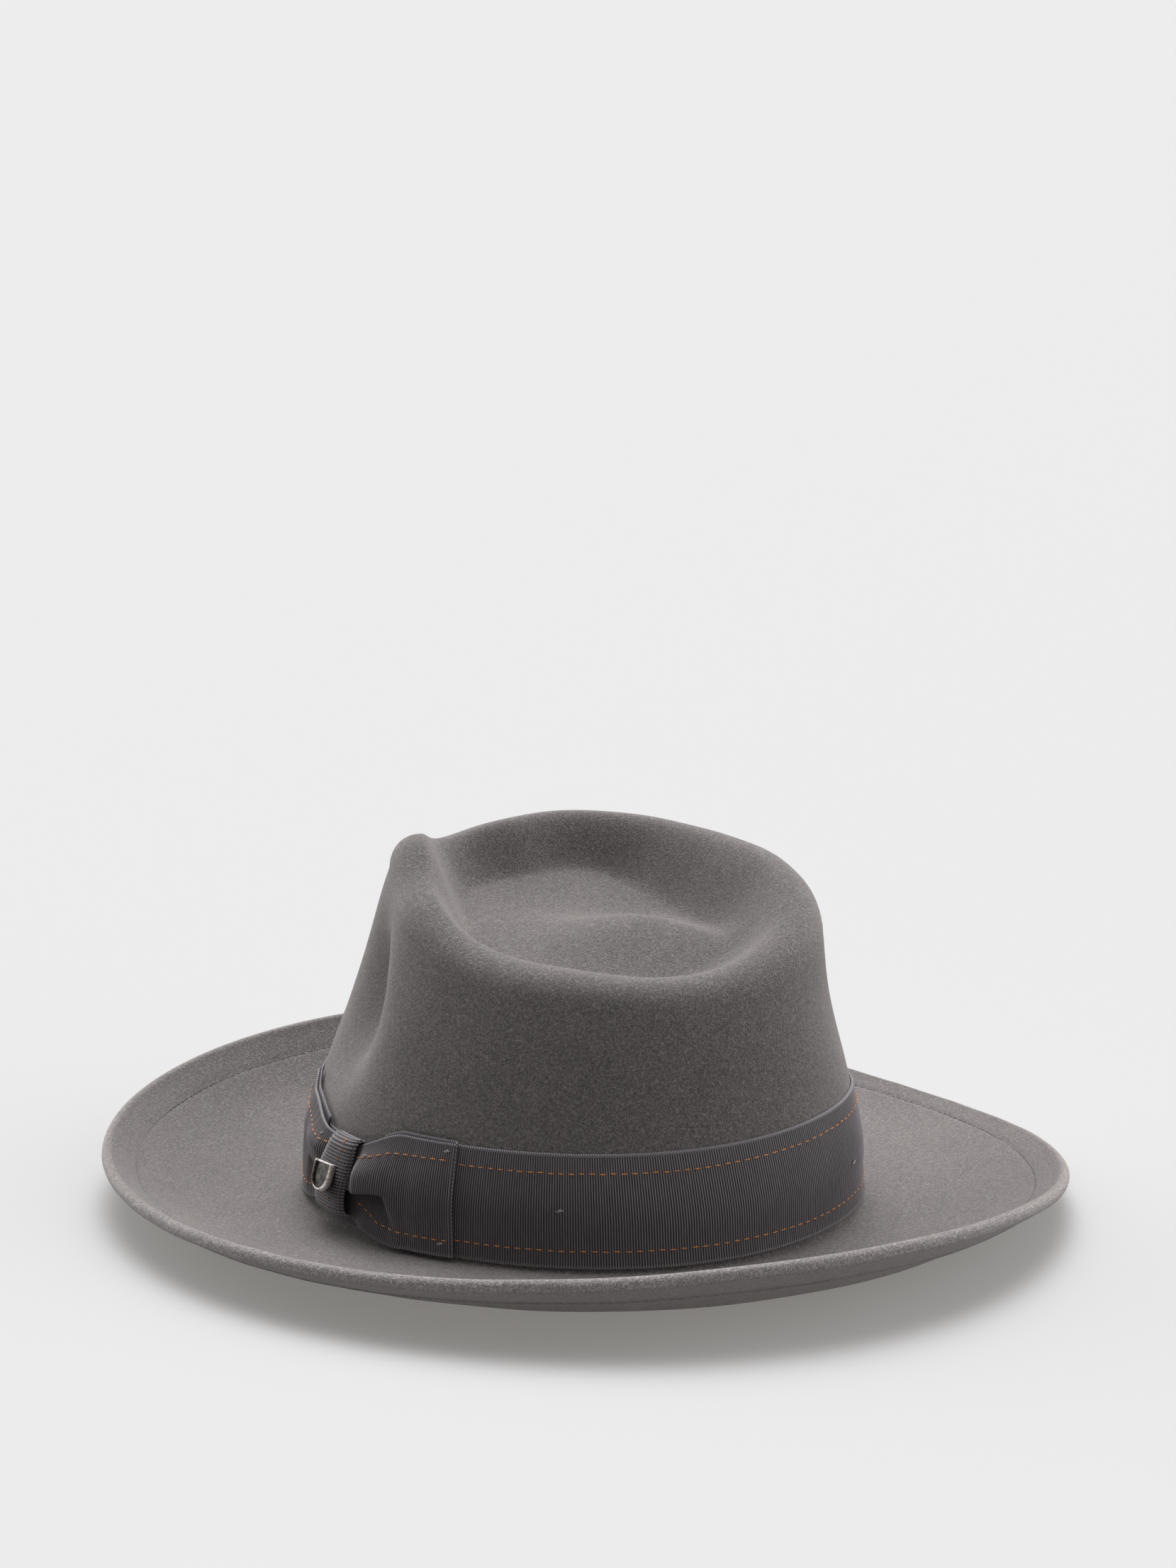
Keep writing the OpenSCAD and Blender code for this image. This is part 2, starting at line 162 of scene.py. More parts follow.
def add_sky():
    """Soft studio light: a broad glow overhead and weaker ones low down. The camera sees pale grey."""
    world = bpy.data.worlds.new("studio")
    bpy.context.scene.world = world
    world.use_nodes = True
    g = Graph(world.node_tree)
    direction = g.put("TexCoord").outputs["Generated"]
    total = SKY_LEVEL
    for azimuth, elevation, strength, sharpness in SKY_LOBES:
        az, el = math.radians(azimuth), math.radians(elevation)
        axis = (math.sin(az) * math.cos(el), -math.cos(az) * math.cos(el), math.sin(el))
        facing = g.put("VectorMath", {0: direction, 1: axis}, operation="DOT_PRODUCT").outputs["Value"]
        lobe = g.math("POWER", g.math("MAXIMUM", facing, 0.0), sharpness)
        total = g.math("MULTIPLY_ADD", lobe, strength, total)
    light = g.put("Background", {"Color": LIGHT_COLOUR, "Strength": total})
    seen = g.put("Background", {"Color": BACKDROP_COLOUR, "Strength": BACKDROP})
    camera_ray = g.put("LightPath").outputs["Is Camera Ray"]
    both = g.put("MixShader", {0: camera_ray, 1: light.outputs[0], 2: seen.outputs[0]})
    g.put("OutputWorld", {"Surface": both.outputs[0]})


def material(name, roughness, sheen=0.0, sheen_rough=0.5, metallic=0.0, specular=0.3):
    """A new material's graph and shader. The caller sets or links its colour and bump."""
    made = bpy.data.materials.new(name)
    made.use_nodes = True
    g = Graph(made.node_tree)
    shader = g.put("BsdfPrincipled", {"Roughness": roughness, "Sheen Weight": sheen,
                                      "Sheen Roughness": sheen_rough, "Metallic": metallic,
                                      "Specular IOR Level": specular})
    g.put("OutputMaterial", {"Surface": shader.outputs[0]})
    return made, g, shader


def grey(level, tint):
    """A colour with its alpha, from how bright it is and its tint."""
    return tuple(level * t for t in tint) + (1.0,)


def add_floor():
    """A pale floor that glows a little, so that shadows on it stay soft and warm."""
    half = FLOOR_HALF
    mesh = bpy.data.meshes.new("floor")
    corners = [(-half, -half, 0), (half, -half, 0), (half, half, 0), (-half, half, 0)]
    mesh.from_pydata(corners, [], [(0, 1, 2, 3)])
    made, _, shader = material("floor", 0.9, specular=0.1)
    shader.inputs["Base Color"].default_value = grey(FLOOR_TONE, FLOOR_TINT)
    shader.inputs["Emission Color"].default_value = FLOOR_GLOW_COLOUR
    shader.inputs["Emission Strength"].default_value = FLOOR_GLOW
    mesh.materials.append(made)
    new_object("floor", mesh)


add_camera()
add_sky()
add_floor()
bpy.context.scene.view_settings.view_transform = "Standard"

# ---- Materials


def finish_look(g, shader, colour, height, distance, strength):
    """Link a look's colour and its bump, whose distance is in metres."""
    g.links.new(colour, shader.inputs["Base Color"])
    node = g.put("Bump", {"Height": height, "Distance": distance, "Strength": strength})
    g.links.new(node.outputs[0], shader.inputs["Normal"])


FELT_TONE, FELT_TINT, FELT_WARM = 0.22, (1.0, 0.93, 0.925), (1.0, 0.90, 0.895)
FIBRE_SCALE, GRAIN_SCALE, TUFT_SCALE, BLOTCH_SCALE = 2000.0, 2900.0, 950.0, 38.0
FIBRE_WAYS = (  # how each set of fibres is turned and drawn out
    ((0.5, 0.3, 0.2), (1, 1, 0.3)),
    ((1.2, -0.5, 0.9), (1, 0.3, 1)),
    ((-0.4, 0.8, 2.1), (0.3, 1, 1)),
)


def felt_material():
    """Wool felt: matted fibres in short crossing streaks, soft blotches, and a pale nap seen edge-on. Its
    colour also carries painted shade on faces turned downwards, painted light on the brim's rolled nose and
    painted shade on the welt's underside.
    """
    made, g, shader = material("wool_felt", 0.95, sheen=0.5, sheen_rough=0.5, specular=0.1)
    place = g.place()
    wander = g.put("TexNoise", {"Vector": place, "Scale": 160.0, "Detail": 1.0}).outputs["Color"]
    bent = g.put("VectorMath", {0: place, 1: g.toned(wander, 0.003)}, operation="ADD").outputs[0]
    streaks = [g.noise(g.mapped(bent, rotation=turn, scale=stretch), FIBRE_SCALE, 1.0, 0.6)
               for turn, stretch in FIBRE_WAYS]
    fibre = g.math("MAXIMUM", g.math("MAXIMUM", streaks[0], streaks[1]), streaks[2])
    grain = g.noise(place, GRAIN_SCALE, 1.0, 0.6)
    tuft = g.noise(place, TUFT_SCALE, 1.0, 0.5)
    blotch = g.noise(place, BLOTCH_SCALE, 3.0, 0.6)
    facing = g.put("SeparateXYZ", {0: g.put("NewGeometry").outputs["Normal"]}).outputs[2]
    level = g.times(g.scaled(g.ramp(fibre, 0.50, 0.72), 0.69, 1.30),
                    g.scaled(g.ramp(grain, 0.33, 0.67), 0.75, 1.25),
                    g.scaled(g.ramp(tuft, 0.30, 0.70), 0.89, 1.11),
                    g.scaled(g.ramp(blotch, 0.3, 0.7), 0.96, 1.04),
                    # painted shade: faces turned downwards are darkened, down to 0.62 of their tone
                    g.scaled(g.ramp(facing, -0.75, -0.05), 0.62, 1.0),
                    # painted light and shade on the brim's edge: the rolled nose up to 1.65 times lighter, the
                    # welt's underside darker
                    g.scaled(g.field("painted_edge_light_and_shade"), 1.0, 1.65))
    base = g.mix(blotch, grey(FELT_TONE, FELT_TINT), grey(FELT_TONE, FELT_WARM))
    shader.inputs["Sheen Tint"].default_value = (0.90, 0.86, 0.84, 1)
    shader.inputs["Subsurface Weight"].default_value = 0.45
    shader.inputs["Subsurface Radius"].default_value = (1.0, 0.95, 0.9)
    shader.inputs["Subsurface Scale"].default_value = 0.0015
    height = g.math("ADD", fibre, g.math("MULTIPLY", grain, 0.6))
    finish_look(g, shader, g.toned(base, level), height, 0.0006, 0.9)
    return made


RIB = 0.9          # pitch of the grosgrain's ribs
WARP = 0.24        # pitch of the fine threads that cross them
EDGE_TWIST = 1.3   # pitch of the twisted look of its woven edges
GROSGRAIN_TONE = (0.225, 0.208, 0.224)


def grosgrain_material():
    """Ribbed ribbon. The "weave" attribute holds millimetres along, across, and the edge's weight."""
    made, g, shader = material("grosgrain_ribbon", 0.58, sheen=0.12, sheen_rough=0.4, specular=0.35)
    weave = g.field("weave", "Vector")
    split = g.put("SeparateXYZ", {0: weave})
    along, across, edge = split.outputs[0], split.outputs[1], split.outputs[2]
    turns = g.math("MULTIPLY", along, 1 / RIB)
    wave = g.math("COSINE", g.math("MULTIPLY", turns, 2 * math.pi))
    crown = g.scaled(wave, 0.5, 1.0)
    parity = g.math("MULTIPLY", g.math("FLOOR", g.math("ADD", turns, 0.5)), math.pi)
    cross = g.math("SINE", g.math("MULTIPLY_ADD", across, 2 * math.pi / WARP, parity))
    yarn = g.noise(g.mapped(weave, scale=(1.2, 0.15, 0)), 1.0, 3.0, 0.6)
    broad = g.noise(g.place(), 60.0, 2.0)
    # painted shade and highlight: the grooves between ribs are darkened to 0.28 and the rib crests lightened
    # to 1.40, on top of the ribs' bump
    level = g.times(g.scaled(g.ramp(crown, 0.40, 1.0), 0.28, 1.40), g.scaled(yarn, 0.70, 1.30),
                    g.scaled(broad, 0.92, 1.08), g.scaled(cross, 1.0, 1.22))
    twist = g.math("SINE", g.math("MULTIPLY_ADD", along, 2 * math.pi / RIB,
                                  g.math("MULTIPLY", across, 2 * math.pi / EDGE_TWIST)))
    beads = g.scaled(g.ramp(twist, -0.5, 0.7), 0.45, 2.0)
    level = g.put("Mix", {0: edge, 2: level, 3: beads}).outputs[0]
    # painted shade: the "fold" field darkens the hollow under the bow's lip, down to 0.35
    level = g.times(level, g.scaled(g.field("fold"), 1.0, 0.35))
    height = g.math("MULTIPLY_ADD", cross, 0.12, g.math("MULTIPLY", crown, 0.35))
    finish_look(g, shader, g.toned(GROSGRAIN_TONE, level), height, 0.00012, 0.8)
    return made


def thread_material(name, colour):
    """Twisted sewing thread."""
    made, g, shader = material(name, 0.6, sheen=0.15, specular=0.35)
    place = g.place()
    ply = g.noise(g.mapped(place, rotation=(0.6, 0.6, 0.4)), 1800.0, 1.0)
    level = g.times(g.scaled(ply, 0.7, 1.25), g.scaled(g.noise(place, 130.0, 2.0), 0.7, 1.3))
    finish_look(g, shader, g.toned(colour, level), ply, 0.0001, 0.6)
    return made


def metal_material(name, colour, roughness):
    """Antiqued cast metal: dark in its pits, brighter where it is rubbed."""
    made, g, shader = material(name, roughness, metallic=1.0, specular=0.5)
    place = g.place()
    pits = g.noise(place, 700.0, 4.0, 0.65)
    wear = g.noise(place, 160.0, 2.0, 0.5)
    tone = g.mix(g.ramp(pits, 0.35, 0.62), grey(0.35, colour), grey(1.0, colour))
    tone = g.mix(g.ramp(wear, 0.45, 0.75), tone, grey(1.3, colour))
    g.links.new(g.scaled(wear, roughness + 0.12, roughness - 0.12), shader.inputs["Roughness"])
    finish_look(g, shader, tone, pits, 0.00012, 0.5)
    return made


def leather_material(colour):
    """Sweatband leather with a fine pebbled grain."""
    made, g, shader = material("leather", 0.55, specular=0.4)
    place = g.place()
    cells = g.put("TexVoronoi", {"Vector": place, "Scale": 900.0}, feature="DISTANCE_TO_EDGE").outputs[0]
    grain = g.ramp(cells, 0.0, 0.25)
    broad = g.noise(place, 45.0, 3.0)
    level = g.times(g.scaled(grain, 0.7, 1.05), g.scaled(broad, 0.85, 1.15))
    g.links.new(g.scaled(broad, 0.48, 0.62), shader.inputs["Roughness"])
    finish_look(g, shader, g.toned(colour, level), grain, 0.00015, 0.6)
    return made


def satin_material(name, colour):
    """Satin, and other smooth pieces: fine floats along one way and a soft lustre."""
    made, g, shader = material(name, 0.38, sheen=0.2, specular=0.5)
    place = g.place()
    floats = g.noise(g.mapped(place, scale=(1, 1, 0.08)), 3000.0, 2.0)
    level = g.times(g.scaled(floats, 0.85, 1.15), g.scaled(g.noise(place, 30.0, 2.0), 0.9, 1.1))
    finish_look(g, shader, g.toned(colour, level), floats, 0.00005, 0.4)
    return made


FELT = felt_material()
GROSGRAIN = grosgrain_material()
ORANGE = thread_material("orange_thread", (0.95, 0.35, 0.07))
GREY_THREAD = thread_material("grey_thread", (0.42, 0.39, 0.37))
SILVER = metal_material("antique_silver", (0.50, 0.46, 0.43), 0.36)
PLATE = metal_material("badge_plate", (0.20, 0.195, 0.18), 0.5)
LEATHER = leather_material((0.045, 0.036, 0.032))
SATIN = satin_material("lining_satin", (0.10, 0.095, 0.105))
LABEL = satin_material("label_cloth", (0.55, 0.53, 0.48))
REED = satin_material("reed_plastic", (0.62, 0.61, 0.58))
WELT_THREAD = thread_material("welt_thread", (0.21, 0.195, 0.19))

# ---- Shape functions


def sin(a):
    return np.sin(np.radians(a))


def cos(a):
    return np.cos(np.radians(a))


def bell(x, spread):
    return np.exp(-x * x / (2 * spread * spread))


def ease(x):
    c = np.clip(x, 0, 1)
    return c * c * (3 - 2 * c)


def wrapped(a):
    return (a + 180) % 360 - 180


def lump(a, middle, spread):
    """A bump of height 1 round one angle."""
    return bell(wrapped(a - middle), spread)


def oval(a, half_w, half_l):
    return 1 / np.sqrt((sin(a) / half_w) ** 2 + (cos(a) / half_l) ** 2)


FELT_T = 2.2
FOOT_W, FOOT_H = 2.5, 5.0
WALL_Z = FELT_T + FOOT_H
EDGE_H, CURL, NOSE_R = 19.5, 3.3, 2.4
RIM_ROUND, CROWN_H = 12.0, 115.0
WELT_U, WELT_T = 0.88, 3.2
CROWN_OVAL, BRIM_OVAL = (86.4, 101.9), (152.4, 172.6)


def foot_r(a):
    return oval(a, *CROWN_OVAL) - 1.1 * lump(a, 28, 18)


def brim_r(a):
    return oval(a, *BRIM_OVAL) - 1.3 * lump(a, 195, 18)


def edge_z(a):
    return (EDGE_H + 1.8 * cos(a) + 2.8 * cos(2 * a) - 1.4 * cos(3 * a) + 5.3 * sin(a)
            - 6.5 * sin(2 * a) - 1.6 * lump(a, 112, 24) + 1.4 * lump(a, 222, 16))


def rim_z(a):
    return (CROWN_H + 5.5 * cos(a) - 12.5 * sin(a) + 1.6 * cos(2 * a) + 1.4 * sin(2 * a)
            + 10.3 * lump(a, 19, 11) - 1.5 * lump(a, -10, 9)
            + 3.5 * lump(a, 42, 12) + 3 * lump(a, 58, 12) - 9 * lump(a, 160, 22)
            + 1.8 * lump(a, 215, 15))


def top_r(a):
    return (oval(a, 64, 81 - 10 * cos(a)) - 4 * bell(np.abs(wrapped(a)) - 32, 18)
            - 1.5 * lump(a, 210, 30))


def pinch(a, t):
    """The two dents at the front, easier towards the ridge between them."""
    left, right = wrapped(a - 34), wrapped(a + 34)
    left_dent = 15 * bell(left, np.where(left < 0, 11, 9)) * bell(t - 0.67, np.where(t < 0.67, 0.20, 0.15))
    right_dent = 13 * bell(right, np.where(right > 0, 11, 9)) * bell(t - 0.62, 0.19)
    return ease((t - 0.2) / 0.35) * (left_dent + right_dent)


def side_r(a, t):
    t = np.maximum(t, 0)
    return (foot_r(a) + (top_r(a) - foot_r(a)) * t ** (1.3 + 0.3 * cos(a))
            + (1.1 - 0.9 * cos(a)) * sin(360 * (t + 0.1)) * ease(t / 0.2)
            + 2.8 * lump(a, 210, 35) * bell(t - 0.55, 0.2) - pinch(a, t))


def side_top(a):
    return rim_z(a) - RIM_ROUND


def felt_r(a, z):
    """Radius of the felt's outside at a height."""
    low = np.clip((z - FELT_T) / FOOT_H, 0, 1)
    foot = foot_r(a) + FOOT_W * (1 - np.sqrt(1 - (1 - low) ** 2))
    return np.where(z >= WALL_Z, side_r(a, (z - WALL_Z) / (side_top(a) - WALL_Z)), foot)


def floor_z(x, y):
    """The crown's sunken top: a mound across it, steep on its far side and easy on its near side."""
    over = x - 3 + 0.25 * (y - 20)
    mound = 10.7 * bell(over, np.where(over < 0, 9.5, 18.0)) * bell(y - 27, 22)
    return 95.5 - 0.20 * x - 0.16 * y + 0.06 * np.hypot(x, 15) + 0.05 * np.hypot(y, 15) + mound


def stacked(*parts):
    """Arrays of matching shapes, put side by side in a new last axis."""
    return np.stack(np.broadcast_arrays(*parts), -1)


def at(a, r, z):
    """Points of the hat's frame from angle, radius and height."""
    return stacked(r * sin(a), -r * cos(a), z)


def on_felt(a, z, off):
    """Points at an offset outwards from the felt's outside."""
    a, z, off = np.broadcast_arrays(a, z, off)
    return at(a, felt_r(a, z) + off, z)


# ---- Mesh helpers


def grid_faces(n, m, loop=True, wrap=True):
    """Quads between n sections of m points."""
    i = np.arange(n if loop else n - 1)[:, None]
    j = np.arange(m if wrap else m - 1)[None, :]
    i2, j2 = (i + 1) % n, (j + 1) % m
    return np.stack([i * m + j, i * m + j2, i2 * m + j2, i2 * m + j], -1).reshape(-1, 4).tolist()


def fan_caps(n, m):
    """Triangles from the first and last points of n sections to two middle points that come after them."""
    fans = []
    for i in range(n):
        k = (i + 1) % n
        fans += [[n * m, i * m, k * m], [i * m + m - 1, n * m + 1, k * m + m - 1]]
    return fans


def end_caps(n, m):
    """Quads that close both ends of an open strip whose sections run out along one face and back."""
    half = m // 2
    ends = []
    for base in (0, (n - 1) * m):
        ends += [[base + j, base + j + 1, base + m - 2 - j, base + m - 1 - j] for j in range(half - 1)]
    return ends


def add_piece(name, points, faces, look, replaces=(), weave=None):
    """A closed mesh from millimetre points, riding on the hat's one body."""
    mesh = bpy.data.meshes.new(name)
    mesh.from_pydata((np.asarray(points).reshape(-1, 3) * MM).tolist(), [], faces)
    work = bmesh.new()
    work.from_mesh(mesh)
    bmesh.ops.recalc_face_normals(work, faces=work.faces)
    work.to_mesh(mesh)
    work.free()
    mesh.shade_smooth()
    mesh.materials.append(look)
    if weave is not None:
        layer = mesh.attributes.new("weave", "FLOAT_VECTOR", "POINT")
        layer.data.foreach_set("vector", np.asarray(weave, np.float32).ravel())
    made = new_object(name, mesh)
    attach(made, "root")
    if replaces:
        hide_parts(*replaces)
    return made


def add_field(made, name, values):
    """A value carried at each point, for the material to read."""
    layer = made.data.attributes.new(name, "FLOAT", "POINT")
    layer.data.foreach_set("value", np.asarray(values, np.float32).ravel())


def distances(points):
    """Distance along a row of points, from its first."""
    return np.concatenate([[0], np.cumsum(np.linalg.norm(np.diff(points, axis=0), axis=1))])


def unit(vectors):
    """The same directions, with length 1."""
    return vectors / np.maximum(np.linalg.norm(vectors, axis=-1, keepdims=True), 1e-9)


def normals_of(surface, loop=False):
    """Unit normals of a grid of points, n sections of m points."""
    if loop:
        along = np.roll(surface, -1, 0) - np.roll(surface, 1, 0)
    else:
        along = np.gradient(surface, axis=0)
    return unit(np.cross(along, np.gradient(surface, axis=1)))


THREAD_R = 0.22
REACH = np.linspace(-0.5, 0.5, 7)          # along one stitch, as a share of its length
ARCH = np.cos(np.linspace(-1.5, 1.5, 7))   # its rise above the cloth, from 0 to 1


def stitches(name, paths, out, radius, look, replaces=()):
    """Short threads: paths is stitches by points by 3, out the direction away from the cloth."""
    sides = 8
    paths, out = np.asarray(paths), np.asarray(out)
    count, size = paths.shape[:2]
    along = unit(np.gradient(paths, axis=1))
    side = unit(np.cross(along, out))
    up = np.cross(side, along)
    taper = np.sin(np.linspace(0.12, math.pi - 0.12, size)) ** 0.45
    turn = np.arange(sides) * 2 * math.pi / sides
    ring = (side[:, :, None] * np.cos(turn)[None, None, :, None]
            + up[:, :, None] * np.sin(turn)[None, None, :, None] * 0.8)
    points = paths[:, :, None] + ring * (radius * taper)[None, :, None, None]
    one = grid_faces(size, sides, loop=False)
    one += [list(range(sides)), [(size - 1) * sides + k for k in range(sides)]]
    faces = [[v + k * size * sides for v in f] for k in range(count) for f in one]
    return add_piece(name, points, faces, look, replaces)


# ---- Felt body

ROUND = 300
OUTER_RINGS = (7, 12, 26, 7, 48, 12, 46)   # at the edge, groove, brim, foot, side, rim and bowl
INNER_RINGS = (6, 3, 14, 5, 24, 7, 24)


def unevenness(x, y, z):
    """Gentle waves of a surface shaped by hand."""
    return (0.22 * np.sin(x / 17 + 1.3) * np.sin(y / 21 + 0.7) * np.cos(z / 19)
            + 0.12 * np.sin(x / 9 + y / 13) * np.sin(y / 8 - z / 11 + 2))


def brim_ring(a, u):
    r0 = foot_r(a) + FOOT_W
    groove = 0.4 * bell(u - WELT_U, 0.012)
    return r0 + (brim_r(a) - r0) * u, FELT_T + (edge_z(a) - FELT_T) * u ** CURL - groove


def foot_ring(a, v):
    return foot_r(a) + FOOT_W * (1 - sin(v)), FELT_T + FOOT_H * (1 - cos(v)) + 0 * a


def side_ring(a, t):
    return side_r(a, t), WALL_Z + (side_top(a) - WALL_Z) * t


def rim_ring(a, v):
    return side_r(a, 1.0) - RIM_ROUND * (1 - cos(v)), rim_z(a) - RIM_ROUND * (1 - sin(v))


def bowl_ring(a, q):
    crest = side_r(a, 1.0) - RIM_ROUND
    r = crest * (1 - q)
    slope = 15 + 13 * lump(a, 205, 38)
    return r, rim_z(a) + (floor_z(r * sin(a), -r * cos(a)) - rim_z(a)) * ease(crest * q / slope)


def felt_rings(counts):
    """Rings of the outer surface, from the brim's edge to near the middle of the crown."""
    edge, groove, brim, foot, side, rim, bowl = counts
    us = np.concatenate([np.linspace(1, 0.925, edge), np.linspace(0.915, 0.845, groove),
                         np.linspace(0.83, 0.03, brim)])
    return ([(brim_ring, u) for u in us]
            + [(foot_ring, v) for v in np.linspace(0, 90, foot, endpoint=False)]
            + [(side_ring, t) for t in np.linspace(0, 1, side, endpoint=False)]
            + [(rim_ring, v) for v in np.linspace(0, 90, rim, endpoint=False)]
            + [(bowl_ring, q) for q in 0.985 * np.linspace(0, 1, bowl) ** 1.25])


def felt_body():
    a = np.arange(ROUND) * 360 / ROUND

    def surface(rings):
        p = np.stack([stacked(*ring(a, value)) for ring, value in rings])
        d = np.gradient(p, axis=0)
        return p, unit(stacked(d[..., 1], -d[..., 0]))

    def wave(p):
        x, y, z = p[..., 0] * sin(a), -p[..., 0] * cos(a), p[..., 1]
        free = np.maximum(ease((z - 52) / 14), ease((p[..., 0] - foot_r(a) - 12) / 20))
        return (unevenness(x, y, z) * free)[..., None]

    inside_rings = felt_rings(INNER_RINGS)
    outer, out_n = surface(felt_rings(OUTER_RINGS))
    inner, in_n = surface(inside_rings)
    lifted = outer + out_n * wave(outer)
    under = inner + in_n * (wave(inner) - FELT_T)
    edge_mid = lifted[0] - NOSE_R * out_n[0]
    outward = stacked(out_n[0][..., 1], -out_n[0][..., 0])
    nose = [edge_mid + NOSE_R * (math.cos(v) * outward + math.sin(v) * out_n[0])
            for v in np.linspace(-math.pi / 2, math.pi / 2, 15)[1:-1]]
    welt_us = np.concatenate([np.linspace(1, WELT_U + 0.010, 8), WELT_U + np.array([0.006, 0.002, 0.0])])
    welt_depth = WELT_T + (2 * NOSE_R - WELT_T) * (welt_us - WELT_U) / (1 - WELT_U)
    welt_depth[-3:] = WELT_T + 0.30, WELT_T + 0.15, WELT_T - 0.5
    seam_us = WELT_U - np.array([0.001, 0.008, 0.018])
    fold_us = np.concatenate([welt_us, seam_us])
    fold_depth = np.concatenate([welt_depth, [FELT_T - 0.25, FELT_T - 0.1, FELT_T]])
    welt, welt_n = surface([(brim_ring, u) for u in fold_us])
    welt = welt + welt_n * (wave(welt) - fold_depth[:, None, None])
    kept = [k for k, (ring, value) in enumerate(inside_rings)
            if not (ring is brim_ring and value > WELT_U - 0.025)]
    profile = np.concatenate([under[kept][::-1], welt[::-1], np.stack(nose), lifted])
    points = at(a, profile[..., 0], profile[..., 1]).transpose(1, 0, 2)
    m = points.shape[1]
    centre = floor_z(0.0, 0.0)
    faces = grid_faces(ROUND, m, wrap=False) + fan_caps(ROUND, m)
    points = np.concatenate([points.reshape(-1, 3), [[0, 0, centre - FELT_T], [0, 0, centre]]])
    points[:, 2] = np.maximum(points[:, 2], 0.0)
    made = add_piece("felt_hat", points, faces, FELT, ["felt_body"])
    welt_at = len(kept) + len(seam_us)
    nose_at = welt_at + len(welt_us)
    # Painted light and shade for the brim's edge: up to 1 across the rolled nose paints it lighter, -0.25 on
    # the welt's underside paints it darker.
    painted_edge_light_and_shade = np.zeros(m)
    painted_edge_light_and_shade[nose_at:nose_at + len(nose)] = np.sin(np.linspace(0.15, math.pi - 0.25, len(nose)))
    painted_edge_light_and_shade[welt_at:nose_at] = -0.25
    add_field(made, "painted_edge_light_and_shade", np.concatenate([np.tile(painted_edge_light_and_shade, ROUND), [0, 0]]))
    return made


felt_hat = felt_body()

# ---- Hatband

GAP, RIBBON_T, RIBBON_W = 0.3, 0.9, 38.0
BAND_OUT = GAP + RIBBON_T
BAND_MID = 22.0
ROW_INSET = 6.0
EDGE_STEPS = np.array([0, 0.18, 0.5, 0.85, 1.2])   # rows of points at a ribbon's edge


def away(a, z):
    """The direction away from the felt."""
    return on_felt(a, z, 1.0) - on_felt(a, z, 0.0)


def band_low(a):
    return 3.7 + 1.6 * lump(a, 190, 23)


def band_high(a):
    behind_bow = 7.3 * ease((wrapped(a) - 22) / 16) * ease((78 - wrapped(a)) / 17)
    return 40.9 + 4.2 * lump(a, 190, 23) + 3.5 * bell(wrapped(a), 16) - behind_bow


def arc_table(off, z=BAND_MID):
    """Angles all round the hat and the distance along the band at each."""
    a = np.arange(0, 360.05, 0.1)
    return a, distances(on_felt(a, z, off))


def edge_weight(mm, width):
    """1 at a ribbon's woven edges and 0 inside them."""
    near = np.minimum(mm, width - mm)
    return 1 - ease((near - 0.55) / 0.5)


def rib_relief(along, mm, width):
    """How far the ribs and the woven edges stand out, in millimetres."""
    phase = 2 * math.pi * along / RIB
    edge = edge_weight(mm, width)
    bead = 0.10 + 0.10 * np.cos(phase + math.pi * (mm > width / 2))
    body = 0.13 * np.cos(phase)
    rounding = 0.30 * (1 - ease(np.minimum(mm, width - mm) / 0.4))
    return body * (1 - edge) + bead * edge - rounding


def hatband():
    angles, arc = arc_table(BAND_OUT)
    ribs = round(arc[-1] / RIB)
    n = ribs * 4
    along = np.arange(n) * RIB / 4
    a = np.interp(along * arc[-1] / (ribs * RIB), arc, angles)[:, None]
    width, rim = RIBBON_W, EDGE_STEPS
    inside = np.linspace(rim[-1], width - rim[-1], 9)[1:-1]
    mm = np.concatenate([rim, inside, width - rim[::-1]])[None, :]
    low, high = band_low(a), band_high(a)
    z = low + (high - low) * mm / width
    outer = on_felt(a, z, GAP + 0.68 + rib_relief(along[:, None], mm, width))
    back = np.linspace(width, 0, 6)[None, :]
    inner = on_felt(a, low + (high - low) * back / width, GAP)
    points = np.concatenate([outer, inner], 1)
    across = np.concatenate([mm, back], 1)
    weave = stacked(along[:, None], across, edge_weight(across, width))
    faces = grid_faces(n, points.shape[1])
    return add_piece("hatband_ribbon", points, faces, GROSGRAIN, ["hatband"], weave)


STITCH, STITCH_PITCH = 2.1, 3.7


def band_row(name, row, replaces):
    """A row of running stitches along the hatband."""
    angles, arc = arc_table(BAND_OUT)
    count = round(arc[-1] / STITCH_PITCH)
    rng = np.random.default_rng(7)
    centre = np.arange(count) * arc[-1] / count + rng.uniform(-0.12, 0.12, count)
    reach = REACH[None, :] * (STITCH + rng.uniform(-0.2, 0.2, (count, 1)))
    a = np.interp((centre[:, None] + reach) % arc[-1], arc, angles)
    z = row(a) + rng.uniform(-0.1, 0.1, (count, 1))
    paths = on_felt(a, z, BAND_OUT + 0.14 * ARCH - 0.04)
    return stitches(name, paths, away(a, z), THREAD_R, ORANGE, replaces)


hatband_ribbon = hatband()
row_low = band_row("hatband_stitches_lower", lambda a: band_low(a) + ROW_INSET, ["hatband_stitch_lower"])
row_high = band_row("hatband_stitches_upper", lambda a: band_high(a) - ROW_INSET, ["hatband_stitch_upper"])

# ---- Bow

KNOT_ANGLE, BOW_END = 56.0, 33.0
HOLLOW_END, HOLLOW_EASE = 13.2, 4.2   # degrees from the knot
DEG_MM = 1.62      # millimetres along the band in one degree, near the bow


def bow_low(d, side):
    rise = 0 if side > 0 else 3.0 * (1 - ease((d - 6) / 20))
    return 9.5 - 5.6 * ease((d + 1) / 20) + rise


